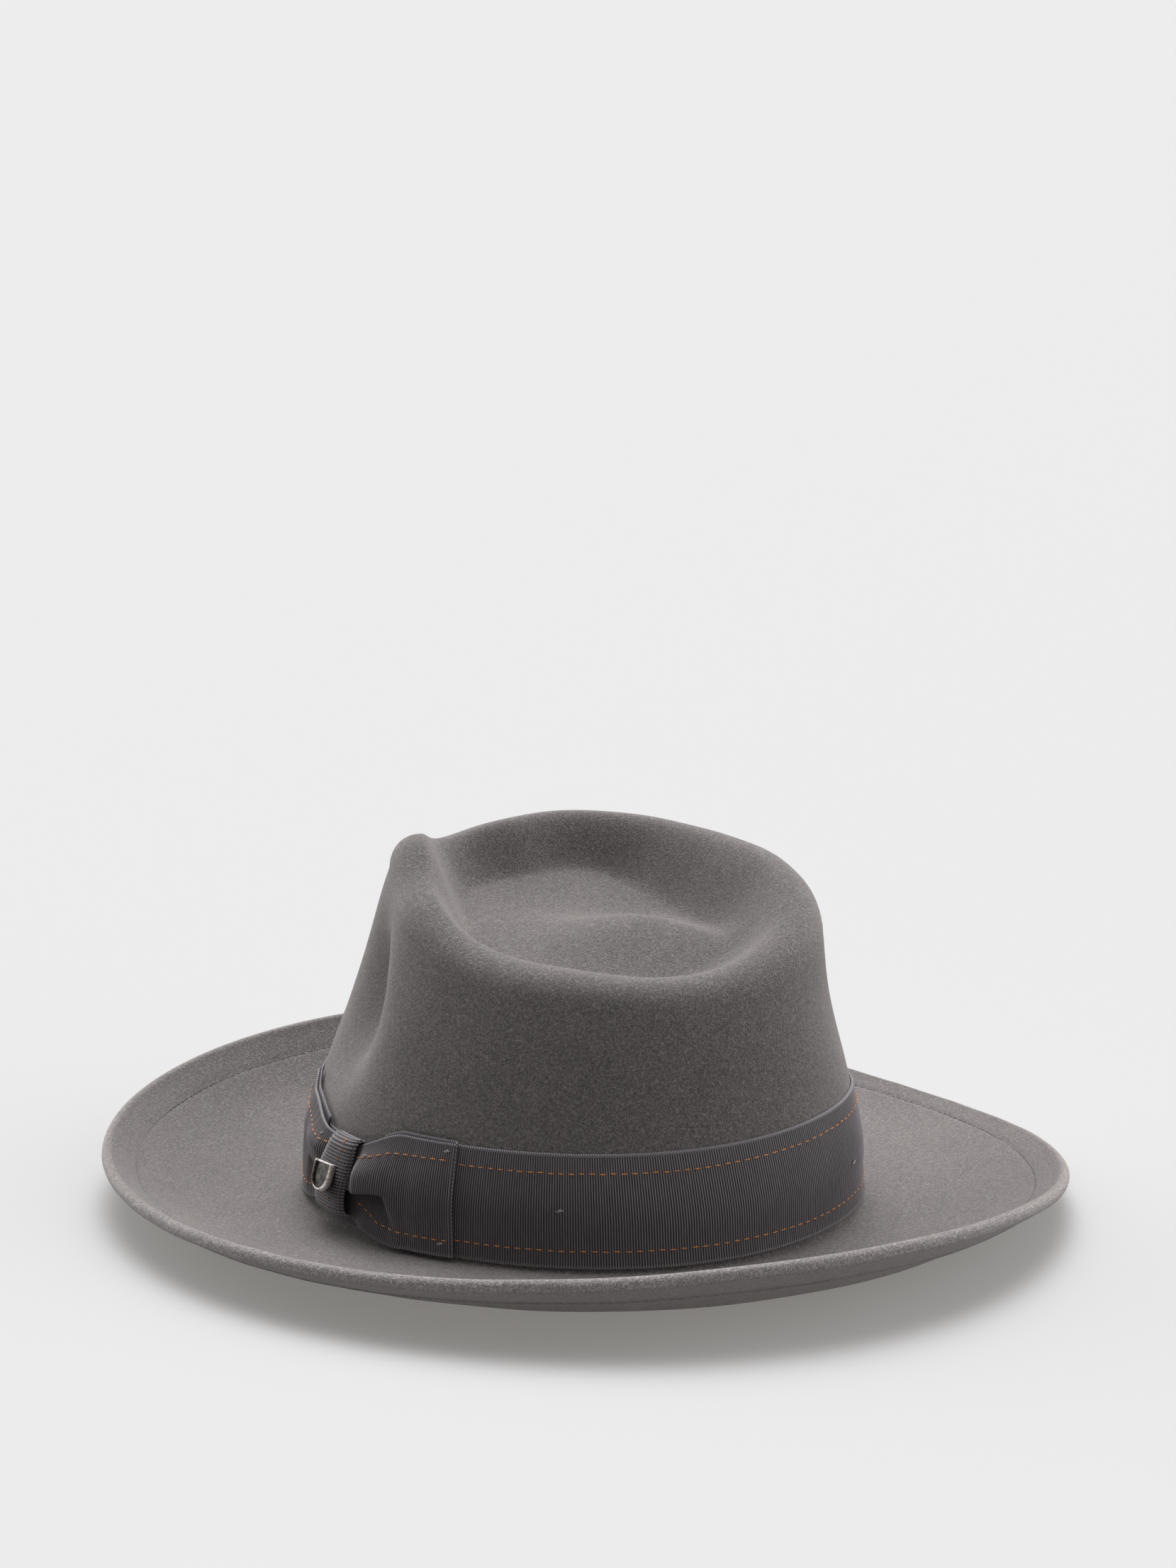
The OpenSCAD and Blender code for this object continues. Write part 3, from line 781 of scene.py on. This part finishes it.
def bow_high(d, side):
    if side > 0:
        return 33.5 + 8.0 * ease((d - 2) / 17)
    return 34.0 + 6.0 * ease((d - 2) / 26) + 5.0 * ease((d - 26) / 8)


def bow_lip(d):
    """Height of the fold's overhanging lip, above the hollow beside the knot."""
    return 18.8 + 2.7 * ease((d - 4) / 11)


def bow_hollow(d, z):
    """1 inside the hollow below the lip, 0 outside it."""
    lip = bow_lip(d)
    return (1 - ease((z - lip + 0.8) / 1.0)) * (1 - ease((d - HOLLOW_END - 0.3 * (lip - z)) / HOLLOW_EASE))


def bow_off(d, z, side):
    """How far the outer layer of the bow stands from the felt: puffed above, hollow, and flared below."""
    low, high, lip = bow_low(d, side), bow_high(d, side), bow_lip(d)
    squeezed = 0.42 + 0.58 * ease((d - 5.4) / 4.0)
    ends = ease((BOW_END - d) / 9)
    fullness = 1.0 if side > 0 else 1 - 0.65 * ease((31 - z) / 8)
    body = squeezed * fullness * (1.3 + 4.6 * (1 - ease((d - 8) / 15))) * (0.25 + 0.75 * ends)
    taper = 1 - 0.8 * ease((z - lip - 5) / (high - lip - 5))
    hollow = bow_hollow(d, z)
    spread = 2.9 if side > 0 else 0.5
    flange = spread * squeezed * (1 - ease((z - low) / (lip - 7 - low)))
    arch = 0.8 * ends * bell(z - 24, 9)
    return BAND_OUT + 1.15 + (body * taper + arch) * (1 - hollow) + hollow * flange


def bow_rows_z(d, side):
    """Heights of the mesh's rows at each column, closer together at the lip and at both edges."""
    low, high, lip, rim = bow_low(d, side), bow_high(d, side), bow_lip(d), EDGE_STEPS
    part = np.concatenate([np.linspace(0, 2, 21)[1:], np.linspace(2, 3, 21)[1:-1]])
    knots = np.stack([low + rim[-1], lip - 2.0, lip + 1.0, high - rim[-1]], 1)
    whole = np.minimum(part.astype(int), 2)
    inside = knots[:, whole] + (knots[:, whole + 1] - knots[:, whole]) * (part - whole)
    return np.concatenate([low[:, None] + rim, inside, high[:, None] - rim[::-1]], 1)


def bow_layers():
    """Columns of the bow's loop: degrees from the knot, and the layer, 0 for the outer and 1 for the inner."""
    step = RIB / 4 / DEG_MM
    fold_r = 0.55
    out = np.arange(0.6, BOW_END, step)
    turn = np.linspace(0, math.pi, 9)[1:-1]
    back = np.arange(BOW_END, 12, -step * 2)
    d = np.concatenate([out, BOW_END + fold_r * np.sin(turn) / DEG_MM, back])
    layer = np.concatenate([np.zeros(len(out)), (1 - np.cos(turn)) / 2, np.ones(len(back))])
    return d, layer


def bow_half(name, side, node):
    """One half of the bow: a flattened loop, gathered into the knot. Also the size of its flat ribbon."""
    d, layer = bow_layers()
    width = RIBBON_W
    rows = bow_rows_z(d, side)
    z = rows + layer[:, None] * np.linspace(-0.3, 0.8, rows.shape[1])
    outer_off = bow_off(d[:, None], rows, side)
    off = outer_off + (BAND_OUT + 0.35 - outer_off) * layer[:, None]
    a = KNOT_ANGLE + side * (d[:, None] - 0.03 * (z - 22) * d[:, None] / BOW_END)
    middle = on_felt(a, z, off)
    normal = normals_of(middle)
    normal = normal * np.sign((normal[5, 20] * away(a[5], z[5, 20])).sum())
    steps = np.linalg.norm(np.diff(middle, axis=1), axis=-1)
    across = np.concatenate([np.zeros((len(d), 1)), np.cumsum(steps, axis=1)], 1)
    across *= width / across[:, -1:]
    along = distances(middle[:, rows.shape[1] // 2])[:, None]
    relief = rib_relief(along, across, width)[..., None]
    face = middle + normal * (0.30 + relief)
    rear = middle - normal * 0.30
    points = np.concatenate([face, rear[:, ::-1]], 1)
    across = np.concatenate([across, across[:, ::-1]], 1)
    # The loop's turn also takes the woven edge's light beads: a painted highlight along the fold.
    edge = np.maximum(edge_weight(across, width), 0.8 * bell(layer - 0.5, 0.2)[:, None])
    weave = stacked(along, across, edge)
    n, m = points.shape[:2]
    faces = grid_faces(n, m, loop=False) + end_caps(n, m)
    made = add_piece(name, points, faces, GROSGRAIN, [node], weave)
    # Painted shade for the hollow under the lip: strongest just below the lip, only on the outer layer, weaker
    # on the front half.
    shade = bow_hollow(d[:, None], rows) * (1 - 0.6 * ease((bow_lip(d)[:, None] - rows) / 12))
    shade = shade * (1 - layer[:, None]) * (1.0 if side > 0 else 0.6)
    add_field(made, "fold", np.concatenate([shade, 0 * shade], 1))
    return made, (width * MM, float(along[-1, 0]) * MM)


def bow_rows(name, side):
    """The two stitched rows on one half of the bow, drawn together where it is gathered."""
    paths, outs = [], []
    rng = np.random.default_rng(11 if side > 0 else 12)
    step = 0.2

    def on_bow(d, z):
        return on_felt(KNOT_ANGLE + side * d, z, bow_off(d, z, side))

    def row_z(d, lower):
        low, high = bow_low(d, side), bow_high(d, side)
        share = 0.15 + 0.10 * (1 - ease((d - 5) / 10)) if lower else 0.83 + 0.02 * ease((d - 8) / 20)
        return low + (high - low) * share

    for lower in (True, False):
        ds = np.arange(6.5, BOW_END - 0.1, 0.02)
        arc = distances(on_bow(ds, row_z(ds, lower)))
        for start in np.arange(0.8, arc[-1] - 1.0, STITCH_PITCH):
            length = STITCH + rng.uniform(-0.2, 0.2)
            dd = np.interp(start + REACH * length, arc, ds)
            zz = row_z(dd, lower) + rng.uniform(-0.1, 0.1)
            here = on_bow(dd, zz)
            n = side * unit(np.cross(on_bow(dd + step, zz) - here, on_bow(dd, zz + step) - here))
            paths.append(here + n * (0.52 + 0.12 * ARCH)[:, None])
            outs.append(n)
    return stitches(name, paths, outs, THREAD_R, ORANGE)


def knot_angle(z):
    """The knot leans: its top is nearer the rear half."""
    return KNOT_ANGLE - 1.9 + 3.3 * ease((z - 12) / 25)


KNOT_HALF_W, KNOT_HALF_H, KNOT_HALF_O, KNOT_MID = 6.0, 13.3, 2.75, 22.4
KNOT_RIB, KNOT_RIBBON_HALF = 1.15, 9.5


def knot_loop(p):
    """Height and offset of the knot's loop at p from 0 to 1 round it, and its whole length.

    The loop is a rounded rectangle: four straights, each followed by a quarter turn.
    """
    corner = 2.5
    flat_h, flat_o, bend = KNOT_HALF_H - corner, KNOT_HALF_O - corner, math.pi / 2 * corner
    total = 4 * (flat_h + flat_o + bend)
    s, start = p * total, 0.0
    z, o = np.zeros_like(s), np.zeros_like(s)
    for way, turn_z, turn_o, half in ((90, flat_h, flat_o, flat_h), (0, flat_h, -flat_o, flat_o),
                                      (-90, -flat_h, -flat_o, flat_h), (180, -flat_h, flat_o, flat_o)):
        here = (s >= start) & (s <= start + 2 * half + bend)
        past = s[here] - start - 2 * half
        ahead = np.maximum(-past, 0)
        angle = way - np.degrees(np.maximum(past, 0) / corner)
        z[here] = turn_z + corner * cos(angle) - sin(way) * ahead
        o[here] = turn_o + corner * sin(angle) + cos(way) * ahead
        start += 2 * half + bend
    arch = 0.5 * np.where(o > 0, cos(90 * z / KNOT_HALF_H), 0)
    return KNOT_MID + z, BAND_OUT + 3.4 + o + arch, total


def bow_knot():
    """The ribbon wrapped round the bow's middle. Also the size of its flat ribbon."""
    total = knot_loop(np.zeros(1))[2]
    ribs = round(total / KNOT_RIB)
    p = np.arange(ribs * 4) / (ribs * 4)
    z, off, _ = knot_loop(p)
    e = np.array([-1, -0.985, -0.94, -0.86, -0.72, -0.5, -0.25, 0, 0.25, 0.5, 0.72, 0.86, 0.94, 0.985, 1])
    curl = 1.5 * np.abs(e) ** 7
    waist = 1.02 - 0.07 * bell(z - 17, 6) - 0.24 * ease((z - 22) / 14)
    a = knot_angle(z)[:, None] + KNOT_HALF_W * e[None, :] * waist[:, None]
    front = ease((off - BAND_OUT - 2.4) / 2)[:, None]
    offs = off[:, None] - curl[None, :] * front - 0.35 * (e[None, :] ** 2) * front
    middle = on_felt(a, np.broadcast_to(z[:, None], a.shape), offs)
    normal = normals_of(middle, loop=True)
    probe = ribs
    normal = normal * np.sign((normal[probe, 7] * away(a[probe, 7], z[probe])).sum())
    phase = 2 * math.pi * np.arange(ribs * 4) / 4
    relief = 0.34 * np.cos(phase)[:, None, None]
    face = middle + normal * (0.32 + relief)
    rear = middle - normal * 0.30
    points = np.concatenate([face, rear[:, ::-1]], 1)
    along = np.arange(ribs * 4)[:, None] / 4 * RIB
    weave = stacked(along, np.concatenate([e, e[::-1]]) * KNOT_RIBBON_HALF, 0.35)
    faces = grid_faces(*points.shape[:2])
    made = add_piece("bow_knot_wrap", points, faces, GROSGRAIN, ["bow_knot"], weave)
    return made, (2 * KNOT_HALF_W * DEG_MM * MM, total * MM)


def knot_row():
    """The stitched row that shows above and below the badge."""
    paths, outs = [], []
    mid, flat, half, corner, face = 22.8, 11.2, 13.7, 2.5, BAND_OUT + 6.15   # the knot's outer face
    for zc in (10.7, 14.0, 28.9, 32.2, 35.2):
        z = zc + 1.7 * REACH
        turn = np.clip((np.abs(z - mid) - flat) / corner, 0, 0.98)
        off = face + 0.5 * cos(90 * (z - mid) / half) - corner * (1 - np.sqrt(1 - turn ** 2))
        a = knot_angle(z) + 1.6
        paths.append(on_felt(a, z, off + 0.42 + 0.10 * ARCH))
        outs.append(away(a, z))
    return stitches("knot_stitches", paths, outs, THREAD_R, ORANGE)


bow_rear, rear_flat = bow_half("bow_rear_loop", 1, "bow_rear_half")
bow_front, front_flat = bow_half("bow_front_loop", -1, "bow_front_half")
bow_wrap, wrap_flat = bow_knot()
rear_rows = bow_rows("bow_rear_stitches", 1)
front_rows = bow_rows("bow_front_stitches", -1)
knot_stitches = knot_row()

# ---- Tacks

TACK_R = 0.3
TACK_THREADS = ((0.15, 2.8), (1.0, 1.6))   # each thread's tilt and length


def tacks(name, places, node):
    """Little two-thread tacks: each place is an angle, a height and how far its cloth is from the felt."""
    paths, outs = [], []
    for a0, z0, off in places:
        for tilt, length in TACK_THREADS:
            s = REACH * length
            a = a0 + s * math.cos(tilt) / DEG_MM
            z = z0 + s * math.sin(tilt)
            paths.append(on_felt(a, z, off + TACK_R * ARCH))
            outs.append(away(a, z))
    return stitches(name, paths, outs, TACK_R, GREY_THREAD, [node])


BAND_TACKS = [(a, 23.2, BAND_OUT + 0.1) for a in (114.8, 185.0)]
band_tacks = tacks("hatband_tack_threads", BAND_TACKS, "hatband_tacks")
BOW_TACKS = [(KNOT_ANGLE + side * d, z, float(bow_off(np.array(d), z, side)) + 0.5)
             for side in (1, -1) for d, z in ((31.2, 8.3), (30.8, 39.0), (9.5, 32.6))]
bow_tacks = tacks("bow_tack_threads", BOW_TACKS, "bow_tacks")

# ---- Badge

BADGE_W, BADGE_H, BADGE_T = 11.6, 10.6, 1.6
BADGE_ANGLE, BADGE_Z, BADGE_FACING, BADGE_PITCH = 54.9, 21.4, 69.0, 20.0
BADGE_OPENING = np.array([-1.25, 0.1])   # middle of the opening, off the badge's own middle


def shield(w, h, count=16):
    """Outline of a shield, anticlockwise from the middle of its top."""
    top = [(x, h / 2) for x in np.linspace(0, -w / 2, 4)]
    left = [(-w / 2, y) for y in np.linspace(h / 2, h * 0.05, 5)[1:]]
    curve = [(-w / 2 * math.cos(v) ** 0.9, h * 0.05 - h * 0.55 * math.sin(v))
             for v in np.linspace(0, math.pi / 2, count)[1:]]
    half = top + left + curve
    other = [(-x, y) for x, y in half[-2:0:-1]]
    return np.array(half + other)


def badge_points(flat, depth):
    """Points of the badge's own plane, x to the rear, y up and depth outwards, put on the knot."""
    f = math.radians(BADGE_FACING)
    sideways = np.array([math.cos(f), math.sin(f), 0])
    level = np.array([math.sin(f), -math.cos(f), 0])
    upright = np.array([0, 0, 1.0])
    rising = upright * cos(BADGE_PITCH) - level * sin(BADGE_PITCH)
    out = level * cos(BADGE_PITCH) + upright * sin(BADGE_PITCH)
    base = on_felt(BADGE_ANGLE, BADGE_Z, BAND_OUT + 7.6)
    flat, depth = np.asarray(flat, float), np.asarray(depth, float)
    return base + flat[..., :1] * sideways + flat[..., 1:2] * rising + depth[..., None] * out


def badge():
    """The badge's raised rim, and the plain domed plate inside it."""
    outer = shield(BADGE_W, BADGE_H)
    inner = shield(BADGE_W - 4.2, BADGE_H - 2.0) + BADGE_OPENING
    middle_out = outer * (1 - 0.5 / BADGE_W * 2)
    middle_in = inner + (outer - inner) * 0.28
    rows = [(outer, 0), (outer, BADGE_T - 0.5), (outer * 0.985, BADGE_T - 0.2), (middle_out, BADGE_T),
            (middle_in, BADGE_T), (inner + (outer - inner) * 0.06, BADGE_T - 0.15),
            (inner, BADGE_T - 0.4), (inner, 0)]
    points = np.stack([badge_points(o, np.full(len(o), float(h))) for o, h in rows], 1)
    faces = grid_faces(*points.shape[:2])
    rim = add_piece("badge_rim", points, faces, SILVER, ["badge_frame"])
    mid = BADGE_OPENING
    plate = shield(BADGE_W - 4.25, BADGE_H - 2.05) + mid
    domed = [(mid + (plate - mid) * k, 0.62 + 0.18 * (1 - k * k)) for k in (1, 0.97, 0.8, 0.6, 0.4, 0.2)]
    domed = [(plate, 0.1)] + domed
    points = np.stack([badge_points(o, np.full(len(o), h)) for o, h in domed], 1)
    n, m = points.shape[:2]
    faces = grid_faces(n, m, wrap=False) + fan_caps(n, m)
    points = np.concatenate([points.reshape(-1, 3), badge_points([mid, mid], [0.1, 0.81])])
    face = add_piece("badge_face", points, faces, PLATE, ["badge_plate"])
    return rim, face


badge_rim, badge_face = badge()
prong_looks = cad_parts["badge_prongs"].data.materials
prong_looks.clear()
prong_looks.append(SILVER)

# ---- Edge stitching, sweatband and lining


INNER_PITCH = 3.2


def spaced(whole, pitch, length):
    """Where each stitch's points come along a closed row."""
    count = int(whole / pitch)
    return (np.arange(count) * whole / count)[:, None] + 1.5 + REACH[None, :] * length


def welt_row():
    """Tone-on-tone stitches in the groove above the folded edge."""
    a = np.arange(0, 360, 0.1)
    arc = distances(at(a, *brim_ring(a, WELT_U)))
    aa = np.interp(spaced(arc[-1], INNER_PITCH, 2.3), arc, a)
    rr, zz = brim_ring(aa, WELT_U)
    paths = at(aa, rr, zz + 0.16 * ARCH + 0.02)
    out = np.zeros_like(paths)
    out[..., 2] = 1
    return stitches("welt_stitches", paths, out, 0.17, WELT_THREAD, ["welt_stitching"])


def inner_ring(name, section, look, replaces, steps=360):
    """A closed ring inside the crown: section(a) gives its radii and heights, points by angles."""
    a = np.arange(steps) * 360 / steps
    r, z = section(a)
    points = at(a[None, :], r, z).transpose(1, 0, 2)
    faces = grid_faces(steps, points.shape[1])
    return add_piece(name, points, faces, look, replaces)


SWEAT_OUT, SWEAT_T, SWEAT_LOW, SWEAT_TOP = -FELT_T - GAP, 1.0, 0.6, 37.6


def sweatband_section(a):
    """Leather with a rolled lower edge, a pressed line below its top, and soft waves."""
    zs = np.concatenate([[SWEAT_LOW + 0.1, 1.4, 2.6, 4.2], np.linspace(7.5, 33, 9),
                         [34.2, 34.6, 35.0, 36.2, SWEAT_TOP - 0.3, SWEAT_TOP]])
    roll = 0.35 * bell(zs - 1.6, 1.1) - 0.18 * bell(zs - 34.6, 0.25)
    soft = 0.12 * np.sin(np.radians(a * 9))[None, :] * np.sin(zs / 9)[:, None]
    z = zs[:, None] + 0 * a
    wall = felt_r(a[None, :], np.maximum(z, WALL_Z))
    thick = SWEAT_T * np.where(zs > SWEAT_TOP - 0.2, 0.6, 1.0)[:, None]
    inner = wall + SWEAT_OUT - thick - roll[:, None] - np.abs(soft)
    outer = wall + SWEAT_OUT
    return np.concatenate([inner, outer[::-1]]), np.concatenate([z, z[::-1]])


def sweat_row():
    """The stitches that hold the reed in the leather's lower edge."""
    angles, arc = arc_table(SWEAT_OUT, 10.0)
    a = np.interp(spaced(arc[-1], INNER_PITCH, 2.2), arc, angles)
    r = felt_r(a, WALL_Z + 0 * a) + SWEAT_OUT - SWEAT_T - 0.15 - 0.16 * ARCH
    return stitches("sweatband_stitches", at(a, r, 3.5), at(a, -1.0, 0.0), 0.2, GREY_THREAD,
                    ["sweatband_stitching"])


PLEATS, LINING_LOW, LINING_HIGH = 96, 38.0, 74.0


def lining_side_section(a):
    """Side of the lining, gathered in small pleats."""
    zs = np.linspace(LINING_LOW, LINING_HIGH, 14)
    share = (zs - LINING_LOW) / (LINING_HIGH - LINING_LOW)
    fold = np.sin(np.radians(a * PLEATS))[None, :] * (0.25 + 0.75 * ease(share))[:, None]
    fold = fold + 0.4 * np.sin(np.radians(a * 37 + 50))[None, :]
    z = zs[:, None] + 0 * a
    middle, half_t = felt_r(a[None, :], z) - FELT_T - 1.3 + 0.45 * fold, 0.12
    return np.concatenate([middle - half_t, (middle + half_t)[::-1]]), np.concatenate([z, z[::-1]])


def lining_tip():
    """The lining's slightly domed top, puckered at its seam."""
    steps, thick = 360, 0.4
    seam_z, rise = LINING_HIGH + 0.6, 4.0
    a = np.arange(steps) * 360 / steps
    edge = felt_r(a, LINING_HIGH + 0 * a) - FELT_T - 2.6
    pucker = 0.35 * np.sin(np.radians(a * PLEATS))
    sections = []
    for q in (0.0, 0.02, 0.05, 0.1, 0.18, 0.3, 0.45, 0.6, 0.75, 0.88, 0.96):
        z = seam_z + rise * (1 - (1 - q) ** 2) + pucker * bell(q, 0.12) * ease(q / 0.03)
        sections.append(at(a, edge * (1 - q), z))
    low = np.stack(sections[::-1], 1)
    high = np.stack(sections, 1) + np.array([0, 0, thick])
    points = np.concatenate([low, high], 1)
    m = points.shape[1]
    top = seam_z + rise
    points = np.concatenate([points.reshape(-1, 3), [[0, 0, top], [0, 0, top + thick]]])
    faces = grid_faces(steps, m, wrap=False) + fan_caps(steps, m)
    return add_piece("lining_tip_cloth", points, faces, SATIN, ["lining_tip"])


ROUND_TURN = np.arange(8)[:, None] * 45.0


def seam_section(a):
    """The piping where the lining's side meets its top."""
    r = felt_r(a, LINING_HIGH + 0 * a)[None, :] - FELT_T - 1.9 + 0.5 * cos(ROUND_TURN)
    return r, LINING_HIGH + 0.4 + 0.5 * sin(ROUND_TURN) + 0 * a


def reed_section(a):
    """The reed inside the sweatband's lower edge."""
    r = foot_r(a)[None, :] + SWEAT_OUT + 0.6 + 0.45 * cos(ROUND_TURN)
    return r, 1.2 + 0.55 * sin(ROUND_TURN) + 0 * a


SWEAT_IN = SWEAT_OUT - SWEAT_T
BACK_BOW_Z = 13.0


def sweat_bow():
    """A small flat bow of narrow ribbon at the back seam: two loops and a wrapped knot."""
    back = float(felt_r(180.0, BACK_BOW_Z)) + SWEAT_IN - 0.7
    turn = np.linspace(0, 2 * math.pi, 41)[:-1, None]
    across = np.linspace(-1, 1, 9)
    reach = (1 - np.cos(turn)) / 2
    half = 1.1 + 1.9 * ease(reach * 1.3)
    y = back - 1.3 - 0.9 * np.sin(turn) * np.sin(reach * math.pi) ** 0.5 - 0.2 * reach
    loops = [(side * (0.8 + 8.2 * reach), y, BACK_BOW_Z + half * across) for side in (-1, 1)]
    wrap = (1.3 * across, back - 1.35 - 1.25 * np.sin(turn), BACK_BOW_Z + 1.5 * np.cos(turn))
    parts = [(stacked(*xyz, across * turn)[..., :3], half_t)
             for xyz, half_t in ((loops[0], 0.16), (loops[1], 0.16), (wrap, 0.18))]
    points, faces, weave = [], [], []
    for middle, half_t in parts:
        normal = normals_of(middle, loop=True)
        both = np.concatenate([middle + half_t * normal, (middle - half_t * normal)[:, ::-1]], 1)
        start = sum(len(part) for part in points)
        faces += [[start + k for k in face] for face in grid_faces(*both.shape[:2])]
        points.append(both.reshape(-1, 3))
        span = np.concatenate([across, across[::-1]]) * 2.5
        weave.append(stacked(np.arange(len(turn))[:, None] * 0.45, span, 0.0).reshape(-1, 3))
    return add_piece("sweatband_ribbon_bow", np.concatenate(points), faces, GROSGRAIN,
                     ["sweatband_bow"], np.concatenate(weave))


LABEL_ANGLE, LABEL_Z, LABEL_W, LABEL_H = 160.0, 22.0, 14.0, 10.0


def size_label():
    """A blank woven label that follows the leather, its four corners a little rounded."""
    per_degree = math.radians(1) * (float(felt_r(LABEL_ANGLE, LABEL_Z)) + SWEAT_IN)
    u, v = np.linspace(-1, 1, 25), np.linspace(-1, 1, 15)
    corner = 0.6 * np.abs(u[:, None]) ** 12 * np.abs(v[None, :]) ** 12
    a = LABEL_ANGLE + (LABEL_W / 2 * u[:, None] - corner * np.sign(u)[:, None]) / per_degree
    z = LABEL_Z + LABEL_H / 2 * v[None, :] - corner * np.sign(v)[None, :]
    lift = -0.75 - 0.12 * np.cos(u[:, None] * 7) * np.cos(v[None, :] * 4)
    wall = felt_r(a, z) + SWEAT_IN + lift
    points = np.concatenate([at(a, wall - 0.15, z), at(a, wall + 0.15, z)[:, ::-1]], 1)
    n, m = points.shape[:2]
    faces = grid_faces(n, m, loop=False) + end_caps(n, m)
    return add_piece("size_label_cloth", points, faces, LABEL, ["size_label"])


welt_stitches = welt_row()
back_bow = sweat_bow()
label = size_label()
reed = inner_ring("sweatband_reed_strip", reed_section, REED, ["sweatband_reed"])
sweatband = inner_ring("sweatband_leather", sweatband_section, LEATHER, ["sweatband"])
sweat_stitches = sweat_row()
lining_side = inner_ring("lining_side_cloth", lining_side_section, SATIN, ["lining_side"],
                         steps=768)
lining_tip_cloth = lining_tip()
lining_piping = inner_ring("lining_piping", seam_section, SATIN, ["lining_seam"])
